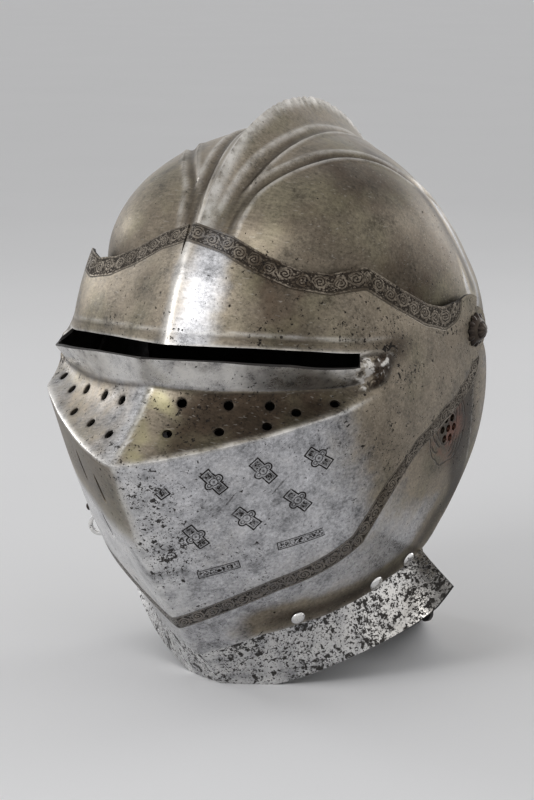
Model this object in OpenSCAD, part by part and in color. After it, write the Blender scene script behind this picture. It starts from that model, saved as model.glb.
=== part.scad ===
// Close helmet of plate armour: a skull with a comb, a bevor and a visor that turn on one pair of temple
// pivots, and a neck lame riveted under the skull and under the bevor.
// Every plate is described round the pivot axis: how far it reaches out from that axis, at which angle
// up from straight ahead, and how far across. The wearer faces -Y, and +X is the wearer's left.

/* [Plates] */
// Thickness of the steel
plate = 1.6; // [1.2:0.1:2]
// Gap between plates that turn over each other, at the pivots
play = 0.8; // [0.6:0.1:1.2]
// Half of the width over the visor arms
visor_half_width = 102; // [98:1:108]
// Height of the pivot axis above the surface that the helmet stands on
pivot_height = 181; // [179:0.5:184]

/* [Visor] */
// Reach of the visor at the upper point of the brow
brow_reach = 124.5; // [123:0.5:128]
// Reach at the upper edge of the sight
sight_reach = 139; // [136:0.5:142]
// Reach at the lip under the sight
lip_reach = 160.5; // [157:0.5:163]
// Reach at the crease under the lip
crease_reach = 152.5; // [149:0.5:155]
// Reach at the point of the prow
prow_reach = 192.6; // [188:0.5:197]
// Reach at the lower edge of the visor
border_reach = 190.7; // [187:0.5:195]
// Half of the length of the sight
sight_half_length = 84.5; // [78:0.5:88]
// Radius of the round breaths
breath_r = 2.4; // [1.6:0.1:3]
// Width of the narrow breaths
slot_w = 2.6; // [1.8:0.1:3.4]
// Length of the narrow breaths
slot_l = 17; // [10:0.5:20]

/* [Skull] */
// Reach of the bowl at the crown
skull_reach = 106; // [102:0.5:107]
// Height of the comb over the bowl at the crown
comb_height = 10; // [6:0.5:12]
// Depth of the embossed flutes
flute_depth = 1.6; // [0.6:0.1:2]

/* [Bevor] */
// Angle of the bevor's upper edge at the middle, degrees
mouth_angle = -27; // [-30:0.5:-24]
// Radius of the round holes over the ear
ear_hole_r = 2; // [1.4:0.1:2.4]

/* [Pivots] */
// Radius of the round end of each arm
ear_radius = 17; // [15:0.5:19]
// Radius of the pivot bolt's shank
bolt_r = 3; // [2.5:0.1:3.5]
// Radial clearance of the shank in its holes
bolt_clearance = 0.06; // [0.02:0.01:0.1]
// Radius of the petalled rosette
rosette_r = 9.2; // [8:0.1:10]
// Height of the rosette
rosette_h = 3.4; // [2.5:0.1:4.5]
// Radius of the bolt's domed head
bolt_head_r = 4.6; // [4:0.1:5.5]
// Side of the square nut inside
nut_side = 12; // [10:0.5:14]
// Thickness of the nut
nut_h = 3; // [2.5:0.5:4]

/* [Rivets] */
// Radius of a rivet's shank
rivet_r = 1.6; // [1.2:0.1:2]
// Radius of a rivet's domed head
rivet_head_r = 4; // [3:0.1:4.5]
// Height of a rivet's domed head
rivet_head_h = 2; // [1.4:0.1:2.6]

/* [Lock hook] */
// Width of the hook's strap
hook_w = 4; // [3:0.5:5]
// Thickness of the hook's strap
hook_t = 2; // [1.5:0.1:2.4]
// Outer radius of the hook's bow
bow_r = 6.2; // [5.6:0.1:6.6]
// Radius of the hook rivet's shank
hook_rivet_r = 1.2; // [1:0.1:1.5]

/* [Neck lames] */
// Length of each lame's upper edge that lies under the plate it is riveted to
lame_lap = 11; // [9:0.5:13]
// How far the rear lame stands out behind the pivot axis
rear_edge = 108; // [107.5:0.5:112]

/* [Hidden] */
steel = "#a8a39b";
bronze = "#4a4038";
visor_w = visor_half_width;
bevor_w = visor_w - plate - play;
skull_w = bevor_w - plate - play;
seat_gap = 0.3;
lap_gap = 0.8;
nut_gap = 0.6;
side_start = 0.905;
eye_radius = 2.2;
gap_cols = 8;
hole_fn = 24;
drill = 12;
pivot_y = (prow_reach * cos(15) - rear_edge) / 2;

function lerp(a, b, t) = a + (b - a) * t;
function unit(v) = v / norm(v);
function clamp(x, lo, hi) = max(lo, min(hi, x));

// A smooth curve through the rows [x, value] of a table, where a value is a number or a vector
function smooth(table, x) =
    let (
        last = len(table) - 2,
        i = clamp(len([for (row = table) if (row[0] <= x) row]) - 1, 0, last),
        a = table[i], b = table[i + 1],
        before = table[max(i - 1, 0)], after = table[min(i + 2, last + 1)],
        h = b[0] - a[0], t = clamp((x - a[0]) / h, 0, 1),
        rise_a = (b[1] - before[1]) * h / (b[0] - before[0]),
        rise_b = (after[1] - a[1]) * h / (after[0] - a[0])
    )
    a[1] * (1 + 2 * t) * (1 - t) * (1 - t) + rise_a * t * (1 - t) * (1 - t)
        + b[1] * t * t * (3 - 2 * t) - rise_b * t * t * (1 - t);

// A form says how a plate bends across the helmet: [reach at the middle, how pointed, how much later it
// bends back, how full]. A place is 0 at the middle. Up to side_start it is the share of the half width,
// from there to 2 the plate closes in on the round end of its arm, and from 2 to 3 on the bolt's hole.
function form_taper(form, u) = form[0] * (1 - form[1] * pow(u, form[2]));
function form_reach(form, u) = form_taper(form, u) * sqrt(max(0, 1 - pow(u, form[3])));
function reach(form, s) =
    s <= side_start ? form_reach(form, s)
    : s <= 2 ? lerp(ear_radius, form_reach(form, side_start), (2 - s) / (2 - side_start))
    : lerp(ear_radius, eye_radius, s - 2);
function across(form, r, u = 0.95, n = 5) =
    n == 0 ? u
    : across(form, r, pow(max(0, 1 - pow(r / form_taper(form, u), 2)), 1 / form[3]), n - 1);
function share_across(form, s, r) = s <= side_start ? s : across(form, r);

// A point in [share across, reach, angle] as [x, y, z]
function fan(half_w, side, q) = [side * half_w * q[0], -q[1] * cos(q[2]), q[1] * sin(q[2])];

// Rows of a plate from the right pivot over the middle to the left one
function both_sides(places) =
    concat([for (i = [len(places) - 1:-1:1]) [-1, places[i]]], [for (p = places) [1, p]]);

// Outward normals of a grid, with one-sided differences where a column stands at an open edge
function normals(grid, starts, ends) =
    let (rows = len(grid) - 1, cols = len(grid[0]))
    [for (i = [0:rows]) [for (j = [0:cols - 1])
        let (
            before = len(search(j, starts)) > 0 ? j : (j + cols - 1) % cols,
            after = len(search(j, ends)) > 0 ? j : (j + 1) % cols,
            along = grid[min(rows, i + 1)][j] - grid[max(0, i - 1)][j],
            around = grid[i][after] - grid[i][before]
        )
        unit(cross(along, around))]];
function inset(grid, normal, depth) =
    [for (i = [0:len(grid) - 1]) [for (j = [0:len(grid[0]) - 1]) grid[i][j] - normal[i][j] * depth]];

// A closed shell from two grids of points. Rows run from one pivot to the other. Columns before gap_col
// are steel in every row, those from gap_col on close the ring round each pivot, and one column, the
// window's, is open in the rows [first, last) of it.
module shell(outer, inner, gap_col, ring_rows, window = [-1, 0, 0]) {
    rows = len(outer) - 1;
    cols = len(outer[0]);
    shift = (rows + 1) * cols;
    function at(i, j) = i * cols + (j + cols) % cols;
    function solid(i, j) =
        i >= 0 && i < rows
        && ((j + cols) % cols < gap_col || i < ring_rows || i >= rows - ring_rows)
        && !((j + cols) % cols == window[0] && i >= window[1] && i < window[2]);
    function quad(a, b, c, d) = [[a, b, c], [a, c, d]];
    quads = [for (i = [0:rows - 1]) for (j = [0:cols - 1]) if (solid(i, j)) [i, j]];
    faces = [for (q = quads)
        let (i = q[0], j = q[1], a = at(i, j), b = at(i + 1, j), c = at(i + 1, j + 1), d = at(i, j + 1))
        each concat(
            quad(a, b, c, d),
            quad(shift + d, shift + c, shift + b, shift + a),
            solid(i, j - 1) ? [] : quad(b, a, shift + a, shift + b),
            solid(i, j + 1) ? [] : quad(d, c, shift + c, shift + d),
            solid(i - 1, j) ? [] : quad(a, d, shift + d, shift + a),
            solid(i + 1, j) ? [] : quad(c, b, shift + b, shift + c))];
    polyhedron(concat([for (row = outer) each row], [for (row = inner) each row]), faces, convexity = 8);
}

// A sheet without rings round the pivots, from its outer and inner grid
module sheet(outer, inner) {
    shell([for (row = outer) concat(row, [row[0]])], [for (row = inner) concat(row, [row[0]])],
        len(outer[0]) - 1, 0);
}

// Columns of a plate that is made of strips: [strip, share of the strip]
function columns(counts) = concat(
    [for (k = [0:len(counts) - 1]) for (i = [0:counts[k] - 1]) [k, i / counts[k]]],
    [[len(counts) - 1, 1]]);

// Straight line between two points given by reach and angle, as the reach at an angle between them
function chord(r1, a1, r2, a2, a) = r1 * r2 * sin(a2 - a1) / (r1 * sin(a - a1) + r2 * sin(a2 - a));

// A rail is [form, [[place, angle], ...]]. A point of the strip between two rails, t of the way across
// it: the strip is flat where straight is 1 and round where it is 0, and bows out by a share.
function strip_point(lo, hi, bow, straight, t, s) =
    let (
        r1 = reach(lo[0], s), r2 = reach(hi[0], s),
        a1 = lookup(s, lo[1]), a2 = lookup(s, hi[1]),
        a = lerp(a1, a2, t),
        keep = straight * clamp((2 - s) / (2 - side_start), 0, 1),
        flat = keep > 0 ? chord(r1, a1, r2, a2, a) * (1 + 4 * bow * t * (1 - t)) : 0,
        r = lerp(lerp(r1, r2, t), flat, keep)
    )
    [share_across(lerp(lo[0], hi[0], t), s, r), r, a];

// The columns that close the ring round a pivot, from the plate's last column on to its first
function ring_points(first_form, last_form, first_angle, last_angle, s) =
    [for (g = [1:gap_cols - 1])
        let (
            t = g / gap_cols,
            r = lerp(reach(last_form, s), reach(first_form, s), t)
        )
        [share_across(lerp(last_form, first_form, t), s, r), r, lerp(last_angle, first_angle + 360, t)]];
function strips_row(rails, bows, straights, cols, s) =
    let (first = rails[0], last = rails[len(rails) - 1])
    concat(
        [for (c = cols) strip_point(rails[c[0]], rails[c[0] + 1], bows[c[0]], straights[c[0]], c[1], s)],
        ring_points(first[0], last[0], lookup(s, first[1]), lookup(s, last[1]), s));

function sign_of(x) = x < 0 ? -1 : 1;
// Place on a plate of strips at a place and an angle, with the outward normal there: [point, normal]
function on_strip(rails, bows, straights, half_w, side, k, s, angle) =
    let (
        a1 = lookup(s, rails[k][1]), a2 = lookup(s, rails[k + 1][1]), t = (angle - a1) / (a2 - a1),
        p = function (s, t)
            fan(half_w, side * sign_of(s), strip_point(rails[k], rails[k + 1], bows[k], straights[k], t, abs(s))),
        along = p(s + 0.01, t) - p(s - 0.01, t),
        around = p(s, t + 0.05) - p(s, t - 0.05)
    )
    [p(s, t), unit(cross(along, around)) * side];

// Puts its children on a place found by on_strip, with +Z along the outward normal
module seated(place) {
    n = place[1];
    translate(place[0]) rotate([0, acos(n[2]), atan2(n[1], n[0])]) children();
}
module in_frame() {
    translate([0, pivot_y, pivot_height]) children();
}
module below_floor() {
    size = 4 * pivot_height;
    translate([0, 0, -pivot_height - size / 2]) cube(size, center = true);
}
module bolt_holes() {
    rotate([0, 90, 0]) cylinder(r = bolt_r + bolt_clearance, h = 4 * visor_w, center = true, $fn = 48);
}

// Visor, from the lower edge up: the border, the prow, the crease and the lip under the sight, the upper
// edge of the sight, and the upper edge
border_rail = [[border_reach, 0.354, 1.09, 7.2], [[0, -48.6], [0.45, -48.8], [0.78, -51], [0.89, -46.8],
    [1.15, -46.5], [1.5, -56], [1.75, -75], [2, -108], [3, -108]]];
prow_rail = [[prow_reach, 0.475, 1.31, 24], [[0, -15], [0.6, -14.7], [0.93, -13], [1.5, -22], [2, -50], [3, -50]]];
crease_rail = [[crease_reach, 0.464, 1.63, 24], [[0, -5.5], [0.8, -9.2], [0.93, -9], [1.5, -12], [2, -25],
    [3, -25]]];
lip_rail = [[lip_reach, 0.25, 0.9, 6.8], [[0, -0.4], [0.35, -0.9], [0.65, -1.9], [0.85, -3.9], [1.5, -5],
    [2, -8], [3, -8]]];
sight_rail = [[sight_reach, 0.36, 1.13, 12], [[0, 1.3], [0.4, 0.9], [0.65, 0.3], [0.85, -0.7], [1.5, 0],
    [2, 5], [3, 5]]];
top_rail = [[brow_reach, 0.27, 1, 7.3], [[0, 29], [0.19, 27.3], [0.36, 23.8], [0.52, 21.5], [0.66, 21.6],
    [0.75, 24.6], [0.79, 26.8], [0.85, 25.1], [0.905, 23.4], [1.3, 21.8], [1.6, 25], [1.85, 44], [2, 95],
    [3, 95]]];
visor_rails = [border_rail, prow_rail, crease_rail, lip_rail, sight_rail, top_rail];
visor_bows = [0.02, -0.035, 0, 0, 0.027];
flat_strips = [1, 1, 1, 1, 1];
visor_counts = [5, 3, 2, 1, 6];
sight_col = 10;
sight_place = sight_half_length / visor_w;
visor_places = concat([0, 0.04, 0.1, 0.17, 0.25, 0.33, 0.41, 0.49, 0.57, 0.65, 0.72, 0.78], [sight_place],
    [0.87, side_start, 1.15, 1.4, 1.65, 1.85, 2, 2.5, 3]);
// Round breaths: [side, distance from the middle, angle], all on the strip over the prow
round_breaths = [[1, 17.4, -8.6], [1, 37.6, -9.6], [1, 54.3, -10.6], [1, 66.1, -12.3], [1, 79.9, -12],
    [1, 16.8, -12.4], [1, 38.6, -13], [1, 57.2, -13.4], [-1, 16.2, -9], [-1, 31.2, -9.5], [-1, 49.5, -10.4],
    [-1, 63.6, -12], [-1, 77.7, -11.7], [-1, 13.9, -12.9], [-1, 31.5, -13], [-1, 50.2, -13.4]];
// Narrow breaths on the right of the keel, under the prow: [distance from the middle, angle]
narrow_breaths = [[21, -22], [39.3, -20.8], [31.5, -32.3]];

function on_visor(side, k, x, angle) =
    on_strip(visor_rails, visor_bows, flat_strips, visor_w, side, k, x / visor_w, angle);

module visor_breaths() {
    for (b = round_breaths)
        seated(on_visor(b[0], 1, b[1], b[2]))
            cylinder(r = breath_r, h = drill, center = true, $fn = hole_fn);
    for (b = narrow_breaths)
        seated(on_visor(-1, 0, b[0], b[1]))
            linear_extrude(drill, center = true) long_hole(slot_l, slot_w);
}
// A slot with round ends, along X
module long_hole(l, w) {
    square([l - w, w], center = true);
    for (end = [-1, 1]) translate([end * (l - w) / 2, 0]) circle(d = w, $fn = hole_fn);
}

module visor() {
    cols = columns(visor_counts);
    outer = [for (row = both_sides(visor_places))
        [for (q = strips_row(visor_rails, visor_bows, flat_strips, cols, row[1])) fan(visor_w, row[0], q)]];
    last = len(cols) - 1;
    inner = inset(outer, normals(outer, [0, sight_col + 1], [sight_col, last]), plate);
    sight_rows = len([for (p = visor_places) if (p > sight_place) p]);
    color(steel) in_frame() difference() {
        shell(outer, inner, last, 2, [sight_col, sight_rows, 2 * (len(visor_places) - 1) - sight_rows]);
        bolt_holes();
        visor_breaths();
        seated(hook_place) hook_bore();
    }
}

// Bevor, from the lower edge up: the neck, the line under the visor's border, and the mouth
visor_lap = 4.2;
neck_rail = [[194, 0.265, 1, 3.4], [[0, -56], [0.3, -57.4], [0.45, -61], [0.58, -67], [0.7, -75],
    [0.76, -83], [0.8, -87], [0.84, -89.5], [0.883, -98], [1.15, -108], [1.4, -117], [1.7, -130],
    [2, -150], [3, -150]]];
under_rail = [[border_reach - visor_lap, 0.354, 1.09, 7.2], [[0, -47.5], [0.78, -49], [1.15, -46], [1.5, -55],
    [2, -100], [3, -100]]];
mouth_lap = 0.9;
// The mouth lies behind the flat of the visor between its border and its prow
mouth_reach = chord(border_reach, border_rail[1][0][1], prow_reach, prow_rail[1][0][1], mouth_angle) - mouth_lap;
mouth_rail = [[mouth_reach, 0.388, 1.09, 8], [[0, mouth_angle], [0.6, mouth_angle],
    [0.85, -24], [1.5, -20], [2, 20], [3, 20]]];
bevor_rails = [neck_rail, under_rail, mouth_rail];
bevor_bows = [0.004, 0];
bevor_straights = [0.6, 1];
bevor_counts = [9, 6];
bevor_places = [0, 0.05, 0.12, 0.2, 0.28, 0.36, 0.44, 0.52, 0.6, 0.67, 0.73, 0.78, 0.82, 0.86, side_start,
    1.15, 1.4, 1.65, 1.85, 2, 2.5, 3];
// Holes over the ear, in a ring round one at the middle: the ring's place and angle, and its radius
ear_holes_at = [1.42, -68];
ear_ring_r = 6;
ear_ring_count = 6;

function on_bevor(side, k, s, angle) =
    on_strip(bevor_rails, bevor_bows, bevor_straights, bevor_w, side, k, s, angle);

module ear_holes() {
    for (side = [-1, 1]) seated(on_bevor(side, 0, ear_holes_at[0], ear_holes_at[1]))
        for (i = [0:ear_ring_count])
            rotate(i * 360 / ear_ring_count) translate([i == ear_ring_count ? 0 : ear_ring_r, 0])
                cylinder(r = ear_hole_r, h = drill, center = true, $fn = hole_fn);
}

function bevor_grid() =
    [for (row = both_sides(bevor_places))
        [for (q = strips_row(bevor_rails, bevor_bows, bevor_straights, columns(bevor_counts), row[1]))
            fan(bevor_w, row[0], q)]];

module bevor() {
    outer = bevor_grid();
    last = len(columns(bevor_counts)) - 1;
    inner = inset(outer, normals(outer, [0], [last]), plate);
    color(steel) in_frame() difference() {
        shell(outer, inner, last, 2);
        bolt_holes();
        ear_holes();
        lame_rivet_holes(front_rivets());
        seated(stud_place) stud_bore();
    }
}

// Skull, from the front edge over the crown to the neck. Each row is [angle at the middle, [reach as a
// share of the crown's, how pointed, how full, comb's height as a share, half of the comb's width]].
nape_angle = 238;
skull_form = [
    [15, [1.085, 0.21, 3.6, 0.3, 6]],
    [35, [1.066, 0.06, 3.6, 0.6, 9]],
    [65, [1.029, 0.15, 3.6, 0.9, 15]],
    [95, [0.997, 0.33, 3.6, 1, 16]],
    [130, [0.972, 0.43, 3.6, 0.9, 16]],
    [165, [0.965, 0.36, 3.6, 0.6, 15]],
    [190, [0.967, 0.3, 3.6, 0.4, 13]],
    [212, [1.02, 0.27, 3.6, 0.2, 11]],
    [227, [1.18, 0.26, 3.8, 0.05, 10]],
    [nape_angle, [1.45, 0.26, 4, 0, 9]]];
brow_edge = [[0, 15], [side_start, 15], [2, 8], [3, 8]];
nape_edge = [[0, nape_angle], [0.2, 238.6], [0.31, 241], [0.41, 245], [0.51, 250.5], [0.62, 258], [0.7, 265],
    [0.78, 268], [side_start, 270], [1.5, 273], [2, 276], [3, 276]];
nape_from = 180;
skull_places = [0, 0.03, 0.065, 0.1, 0.135, 0.17, 0.215, 0.27, 0.33, 0.4, 0.47, 0.54, 0.61, 0.68, 0.74, 0.8,
    0.855, side_start, 1.2, 1.5, 1.75, 2, 2.5, 3];
skull_angles = [15, 22, 29, 36, 43, 50, 57, 64, 71, 78, 85, 92, 100, 108, 116, 125, 134, 144, 154, 164, 174,
    184, 193, 202, 210, 217, 223, 228, 233, nape_angle];
// Flutes that run back over the skull, as [angle at the middle, distance from the middle]
inner_flute = [[15, 7], [45, 12], [71, 19], [100, 21], [150, 19], [200, 15], [nape_angle, 12]];
outer_flute = [[15, 9], [40, 16], [48, 24], [55, 32], [64, 41], [72, 50], [85, 62], [110, 70], [150, 66],
    [200, 50], [nape_angle, 40]];
flute_half_w = 5;

function skull_angle(s, q) =
    q <= nape_from
        ? lerp(lookup(s, brow_edge), nape_from, (q - skull_form[0][0]) / (nape_from - skull_form[0][0]))
        : lerp(nape_from, lookup(s, nape_edge), (q - nape_from) / (nape_angle - nape_from));
// Height over the plain bowl: the comb, and the flutes beside it
function emboss(q, x) =
    let (
        form = smooth(skull_form, q),
        fade = clamp((q - 24) / 20, 0, 1) * clamp((225 - q) / 30, 0, 1),
        near = abs(x - smooth(inner_flute, q)) / flute_half_w,
        far = abs(x - smooth(outer_flute, q)) / flute_half_w
    )
    comb_height * form[3] * pow(max(0, 1 - x / form[4]), 1.4)
        - flute_depth * fade * (near < 1 ? pow(cos(90 * near), 2) : 0)
        - flute_depth * fade * (far < 1 ? pow(cos(90 * far), 2) : 0);
function bowl(row) = [row[0] * skull_reach, row[1], 1, row[2]];
function skull_point(s, q) =
    let (
        row = smooth(skull_form, q),
        form = bowl(row),
        r = reach(form, s)
    )
    [share_across(form, s, r), r + (s <= side_start ? emboss(q, s * skull_w) : 0), skull_angle(s, q)];
function skull_row(s) =
    let (
        a = bowl(smooth(skull_form, skull_angles[0])), b = bowl(smooth(skull_form, nape_angle))
    )
    concat([for (q = skull_angles) skull_point(s, q)],
        ring_points(a, b, lookup(s, brow_edge), lookup(s, nape_edge), s));
function skull_grid() =
    [for (row = both_sides(skull_places)) [for (q = skull_row(row[1])) fan(skull_w, row[0], q)]];

module skull() {
    outer = skull_grid();
    last = len(skull_angles) - 1;
    inner = inset(outer, normals(outer, [0], [last]), plate);
    color(steel) in_frame() difference() {
        shell(outer, inner, last, 2);
        bolt_holes();
        lame_rivet_holes(rear_rivets());
    }
}

// A lame's cross section from its upper edge, which lies inside the plate above, to its outer edge.
// The rows run from the right to the left.
lame_cols = 7;
front_edge_line = [[0, [0, -86, -181.6]], [0.2, [21, -77, -181.6]], [0.36, [38, -68, -177]],
    [0.52, [57, -57, -168]], [0.67, [76, -42, -157]], [0.73, [88, -31, -148]], [0.755, [95, -27, -141]],
    [0.78, [102, -24, -130]]];
rear_edge_line = [[0, [0, rear_edge, -181.6]], [0.15, [16, rear_edge - 6, -181.6]], [0.3, [32, 82, -180]],
    [0.41, [44, 64, -176]], [0.51, [55, 46, -170]], [0.62, [67, 25, -161]], [0.7, [77, 5, -150]]];
lame_places = [0, 0.05, 0.12, 0.2, 0.28, 0.36, 0.44, 0.52, 0.6, 0.67, 0.72, 0.75, 0.78];
rear_places = [0, 0.06, 0.13, 0.2, 0.28, 0.36, 0.44, 0.52, 0.6, 0.66, 0.7];

function reversed(list) = [for (i = [len(list) - 1:-1:0]) list[i]];
function mirrored(side, p) = [side * p[0], p[1], p[2]];

// Cross section of a lame, from its outer edge in to the edge of the plate above and up under that plate.
// The plate is given by its edge point, a point further up, and the outward normals at both.
function lame_section(edge, edge_n, up, up_n, out) =
    let (sink = plate + lap_gap)
    concat(
        [for (t = [1, 0.75, 0.5, 0.25])
            lerp(edge - edge_n * sink, out, t) - edge_n * 3 * t * (1 - t)],
        [for (t = [0, 0.5, 1]) lerp(edge, up, t) - lerp(edge_n, up_n, t) * sink]);

function front_section(side, s) =
    let (
        edge = on_bevor(side, 0, s, lookup(s, neck_rail[1])),
        span = lookup(s, under_rail[1]) - lookup(s, neck_rail[1]),
        upper = on_bevor(side, 0, s, lookup(s, neck_rail[1]) + min(span, lame_lap / edge_reach(s)))
    )
    lame_section(edge[0], edge[1], upper[0], upper[1], mirrored(side, smooth(front_edge_line, s)));
// Reach of the bevor's lower edge per degree of turn
function edge_reach(s) = reach(neck_rail[0], s) * PI / 180;

// Place on the skull with the outward normal there
function on_skull(side, s, q) =
    let (
        p = function (s, q) fan(skull_w, side * sign_of(s), skull_point(abs(s), q)),
        along = p(s + 0.01, q) - p(s - 0.01, q),
        around = p(s, q + 0.5) - p(s, q - 0.5)
    )
    [p(s, q), unit(cross(along, around)) * side];
function nape_reach(s) = reach(bowl(smooth(skull_form, nape_angle)), s);
// Angle at the middle of a place that lies a length up from the nape's edge
function above_nape(s, l) = nape_angle - (nape_angle - nape_from) * l / (nape_reach(s) * PI / 180)
    / (lookup(s, nape_edge) - nape_from);
function rear_section(side, s) =
    let (
        edge = on_skull(side, s, above_nape(s, 0.2)),
        upper = on_skull(side, s, above_nape(s, lame_lap))
    )
    reversed(lame_section(edge[0], edge[1], upper[0], upper[1], mirrored(side, smooth(rear_edge_line, s))));

module lame(places, front) {
    outer = [for (row = both_sides(places)) front ? front_section(row[0], row[1]) : rear_section(row[0], row[1])];
    cols = len(outer[0]);
    inner = inset(outer, normals(outer, [0], [cols - 1]), plate);
    difference() {
        sheet(outer, inner);
        below_floor();
        lame_rivet_holes(front ? front_rivets() : rear_rivets());
    }
}
module front_neck_lame() {
    color(steel) in_frame() lame(lame_places, true);
}
module rear_neck_lame() {
    color(steel) in_frame() lame(rear_places, false);
}

// Places of the rivets that hold the lames, near the lower edges of the bevor and the skull
rivet_inset = 5.5;
rivet_slack = 0.8;
front_rivet_places = [0.45, 0.68, 0.755];
rear_rivet_places = [0, 0.36, 0.62];
function front_rivets() = [for (side = [-1, 1]) for (s = front_rivet_places)
    on_bevor(side, 0, s, lookup(s, neck_rail[1]) + rivet_inset / edge_reach(s))];
function rear_rivets() = [for (side = [-1, 1]) for (s = rear_rivet_places) if (side > 0 || s > 0)
    on_skull(side, s, above_nape(s, rivet_inset))];
module lame_rivet_holes(places) {
    for (p = places) seated(p)
        cylinder(r = rivet_r + bolt_clearance, h = drill, center = true, $fn = hole_fn);
}
// A rivet through a plate and the lame under it: domed outside and flat inside
module rivet() {
    translate([0, 0, seat_gap])
        pin(rivet_r, 2 * plate + lap_gap + 2 * seat_gap + rivet_slack, rivet_head_r, rivet_head_h, 1);
}
module front_lame_rivets() {
    color(steel) in_frame() for (p = front_rivets()) seated(p) rivet();
}
module rear_lame_rivets() {
    color(steel) in_frame() for (p = rear_rivets()) seated(p) rivet();
}

// Pivots: a bolt with a domed head through a petalled rosette, the plates and a square nut
petals = 12;
module pivot(side) {
    in_frame() mirror([side < 0 ? 1 : 0, 0, 0]) rotate([0, 90, 0]) children();
}
module pivot_bolt() {
    head_base = visor_w + rosette_h;
    tail = skull_w - plate - nut_gap - nut_h - 1;
    rotate_extrude($fn = 48) polygon(concat(
        [for (a = [0:10:90]) [bolt_head_r * cos(a), head_base + 2.4 * sin(a)]],
        [[0, tail], [bolt_r, tail], [bolt_r, head_base]]));
}
module pivot_rosette() {
    difference() {
        union() {
            translate([0, 0, visor_w]) cylinder(r1 = rosette_r - 1.5, r2 = bolt_head_r + 0.6, h = rosette_h, $fn = 48);
            for (i = [0:petals - 1]) rotate(i * 360 / petals) translate([rosette_r - 1.9, 0, visor_w])
                cylinder(r1 = 1.9, r2 = 1, h = 1.8, $fn = 24);
        }
        cylinder(r = bolt_r + bolt_clearance, h = 4 * visor_w, center = true, $fn = 48);
    }
}
module pivot_nut() {
    translate([0, 0, skull_w - plate - nut_gap - nut_h]) difference() {
        translate([-nut_side / 2, -nut_side / 2, 0]) cube([nut_side, nut_side, nut_h]);
        translate([0, 0, -1]) cylinder(r = bolt_r + bolt_clearance, h = nut_h + 2, $fn = 48);
    }
}
module pivot_bolt_left() { color(bronze) pivot(1) pivot_bolt(); }
module pivot_bolt_right() { color(bronze) pivot(-1) pivot_bolt(); }
module pivot_rosette_left() { color(bronze) pivot(1) pivot_rosette(); }
module pivot_rosette_right() { color(bronze) pivot(-1) pivot_rosette(); }
module pivot_nut_left() { color(steel) pivot(1) pivot_nut(); }
module pivot_nut_right() { color(steel) pivot(-1) pivot_nut(); }

// Lock: a bowed hook that swivels on a rivet at the visor's right lower corner and bows over a stud on
// the bevor. Its own +X runs down the plate and its +Z out from it.
hook_across = 0.77;
hook_place = on_visor(-1, 0, hook_across * visor_w, -48.6);
stud_place = on_bevor(-1, 0, 0.721, -52);
hook_tail = 4.2;
bow_x = 10.5;
bow_drop = 0.8;
bow_end = -32;
bow_steps = 14;
stud_r = 1;
stud_h = 6;
collar_h = 1;
collar_r = 1.8;

// Outline of the hook from the side: the strap over the rivet and the bow over the stud
function bow(r, a) = [bow_x + r * cos(a), r * sin(a) - bow_drop];
function bow_arc(r, from, to) = [for (i = [0:bow_steps]) bow(r, lerp(from, to, i / bow_steps))];
module hook_outline() {
    inner_r = bow_r - hook_t;
    translate([0, seat_gap]) polygon(concat(
        [[-hook_tail, 0], [-hook_tail, hook_t]],
        bow_arc(bow_r, 180 - asin((hook_t + bow_drop) / bow_r), bow_end),
        bow_arc(inner_r, bow_end, 180 - asin(bow_drop / inner_r))));
}
module lock_hook() {
    color(steel) in_frame() seated(hook_place) difference() {
        rotate([90, 0, 0]) linear_extrude(hook_w, center = true) hook_outline();
        hook_bore();
    }
}
module hook_bore() {
    cylinder(r = hook_rivet_r + bolt_clearance, h = drill, center = true, $fn = hole_fn);
}
module lock_hook_rivet() {
    color(bronze) in_frame() seated(hook_place) translate([0, 0, hook_t + 2 * seat_gap])
        pin(hook_rivet_r, hook_t + plate + 3 * seat_gap, hook_w / 2, 1.2, 0.4);
}
module stud_bore() {
    cylinder(r = stud_r + bolt_clearance, h = drill, center = true, $fn = hole_fn);
}
// The stud stands in the bevor between two collars and carries a cross pin
module lock_stud() {
    color(steel) in_frame() seated(stud_place) {
        translate([0, 0, -plate - seat_gap]) cylinder(r = stud_r, h = plate + seat_gap + stud_h, $fn = hole_fn);
        for (z = [seat_gap, -plate - seat_gap - collar_h])
            translate([0, 0, z]) cylinder(r = collar_r, h = collar_h, $fn = hole_fn);
        translate([0, 0, stud_h - collar_h]) rotate([90, 0, 0])
            cylinder(r = stud_r / 2, h = 2 * collar_r, center = true, $fn = hole_fn);
    }
}
// A riveted pin: its shank runs down from the plane of its domed head to a flat foot
module pin(r, l, head_r, head_h, foot_h) {
    rotate_extrude($fn = 32) polygon(concat(
        [for (a = [0:15:90]) [head_r * cos(a), head_h * sin(a)]],
        [[0, -l - foot_h], [1.4 * r, -l - foot_h], [1.4 * r, -l], [r, -l], [r, 0]]));
}

skull();
visor();
bevor();
front_neck_lame();
rear_neck_lame();
front_lame_rivets();
rear_lame_rivets();
pivot_bolt_left();
pivot_bolt_right();
pivot_rosette_left();
pivot_rosette_right();
pivot_nut_left();
pivot_nut_right();
lock_hook();
lock_hook_rivet();
lock_stud();
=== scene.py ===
"""Looks of a close helmet: worn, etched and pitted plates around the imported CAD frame.

The plates are built again here from the same curves as the solids, finer and with worn edges. A plate is
described round the pivot axis: a reach out from it, an angle up from straight ahead, and a share of the
half width. Lengths inside the plate functions are millimetres from the middle of the pivot axis.
"""

import bmesh
import bpy
import numpy as np
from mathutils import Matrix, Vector
from mathutils.kdtree import KDTree


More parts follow.
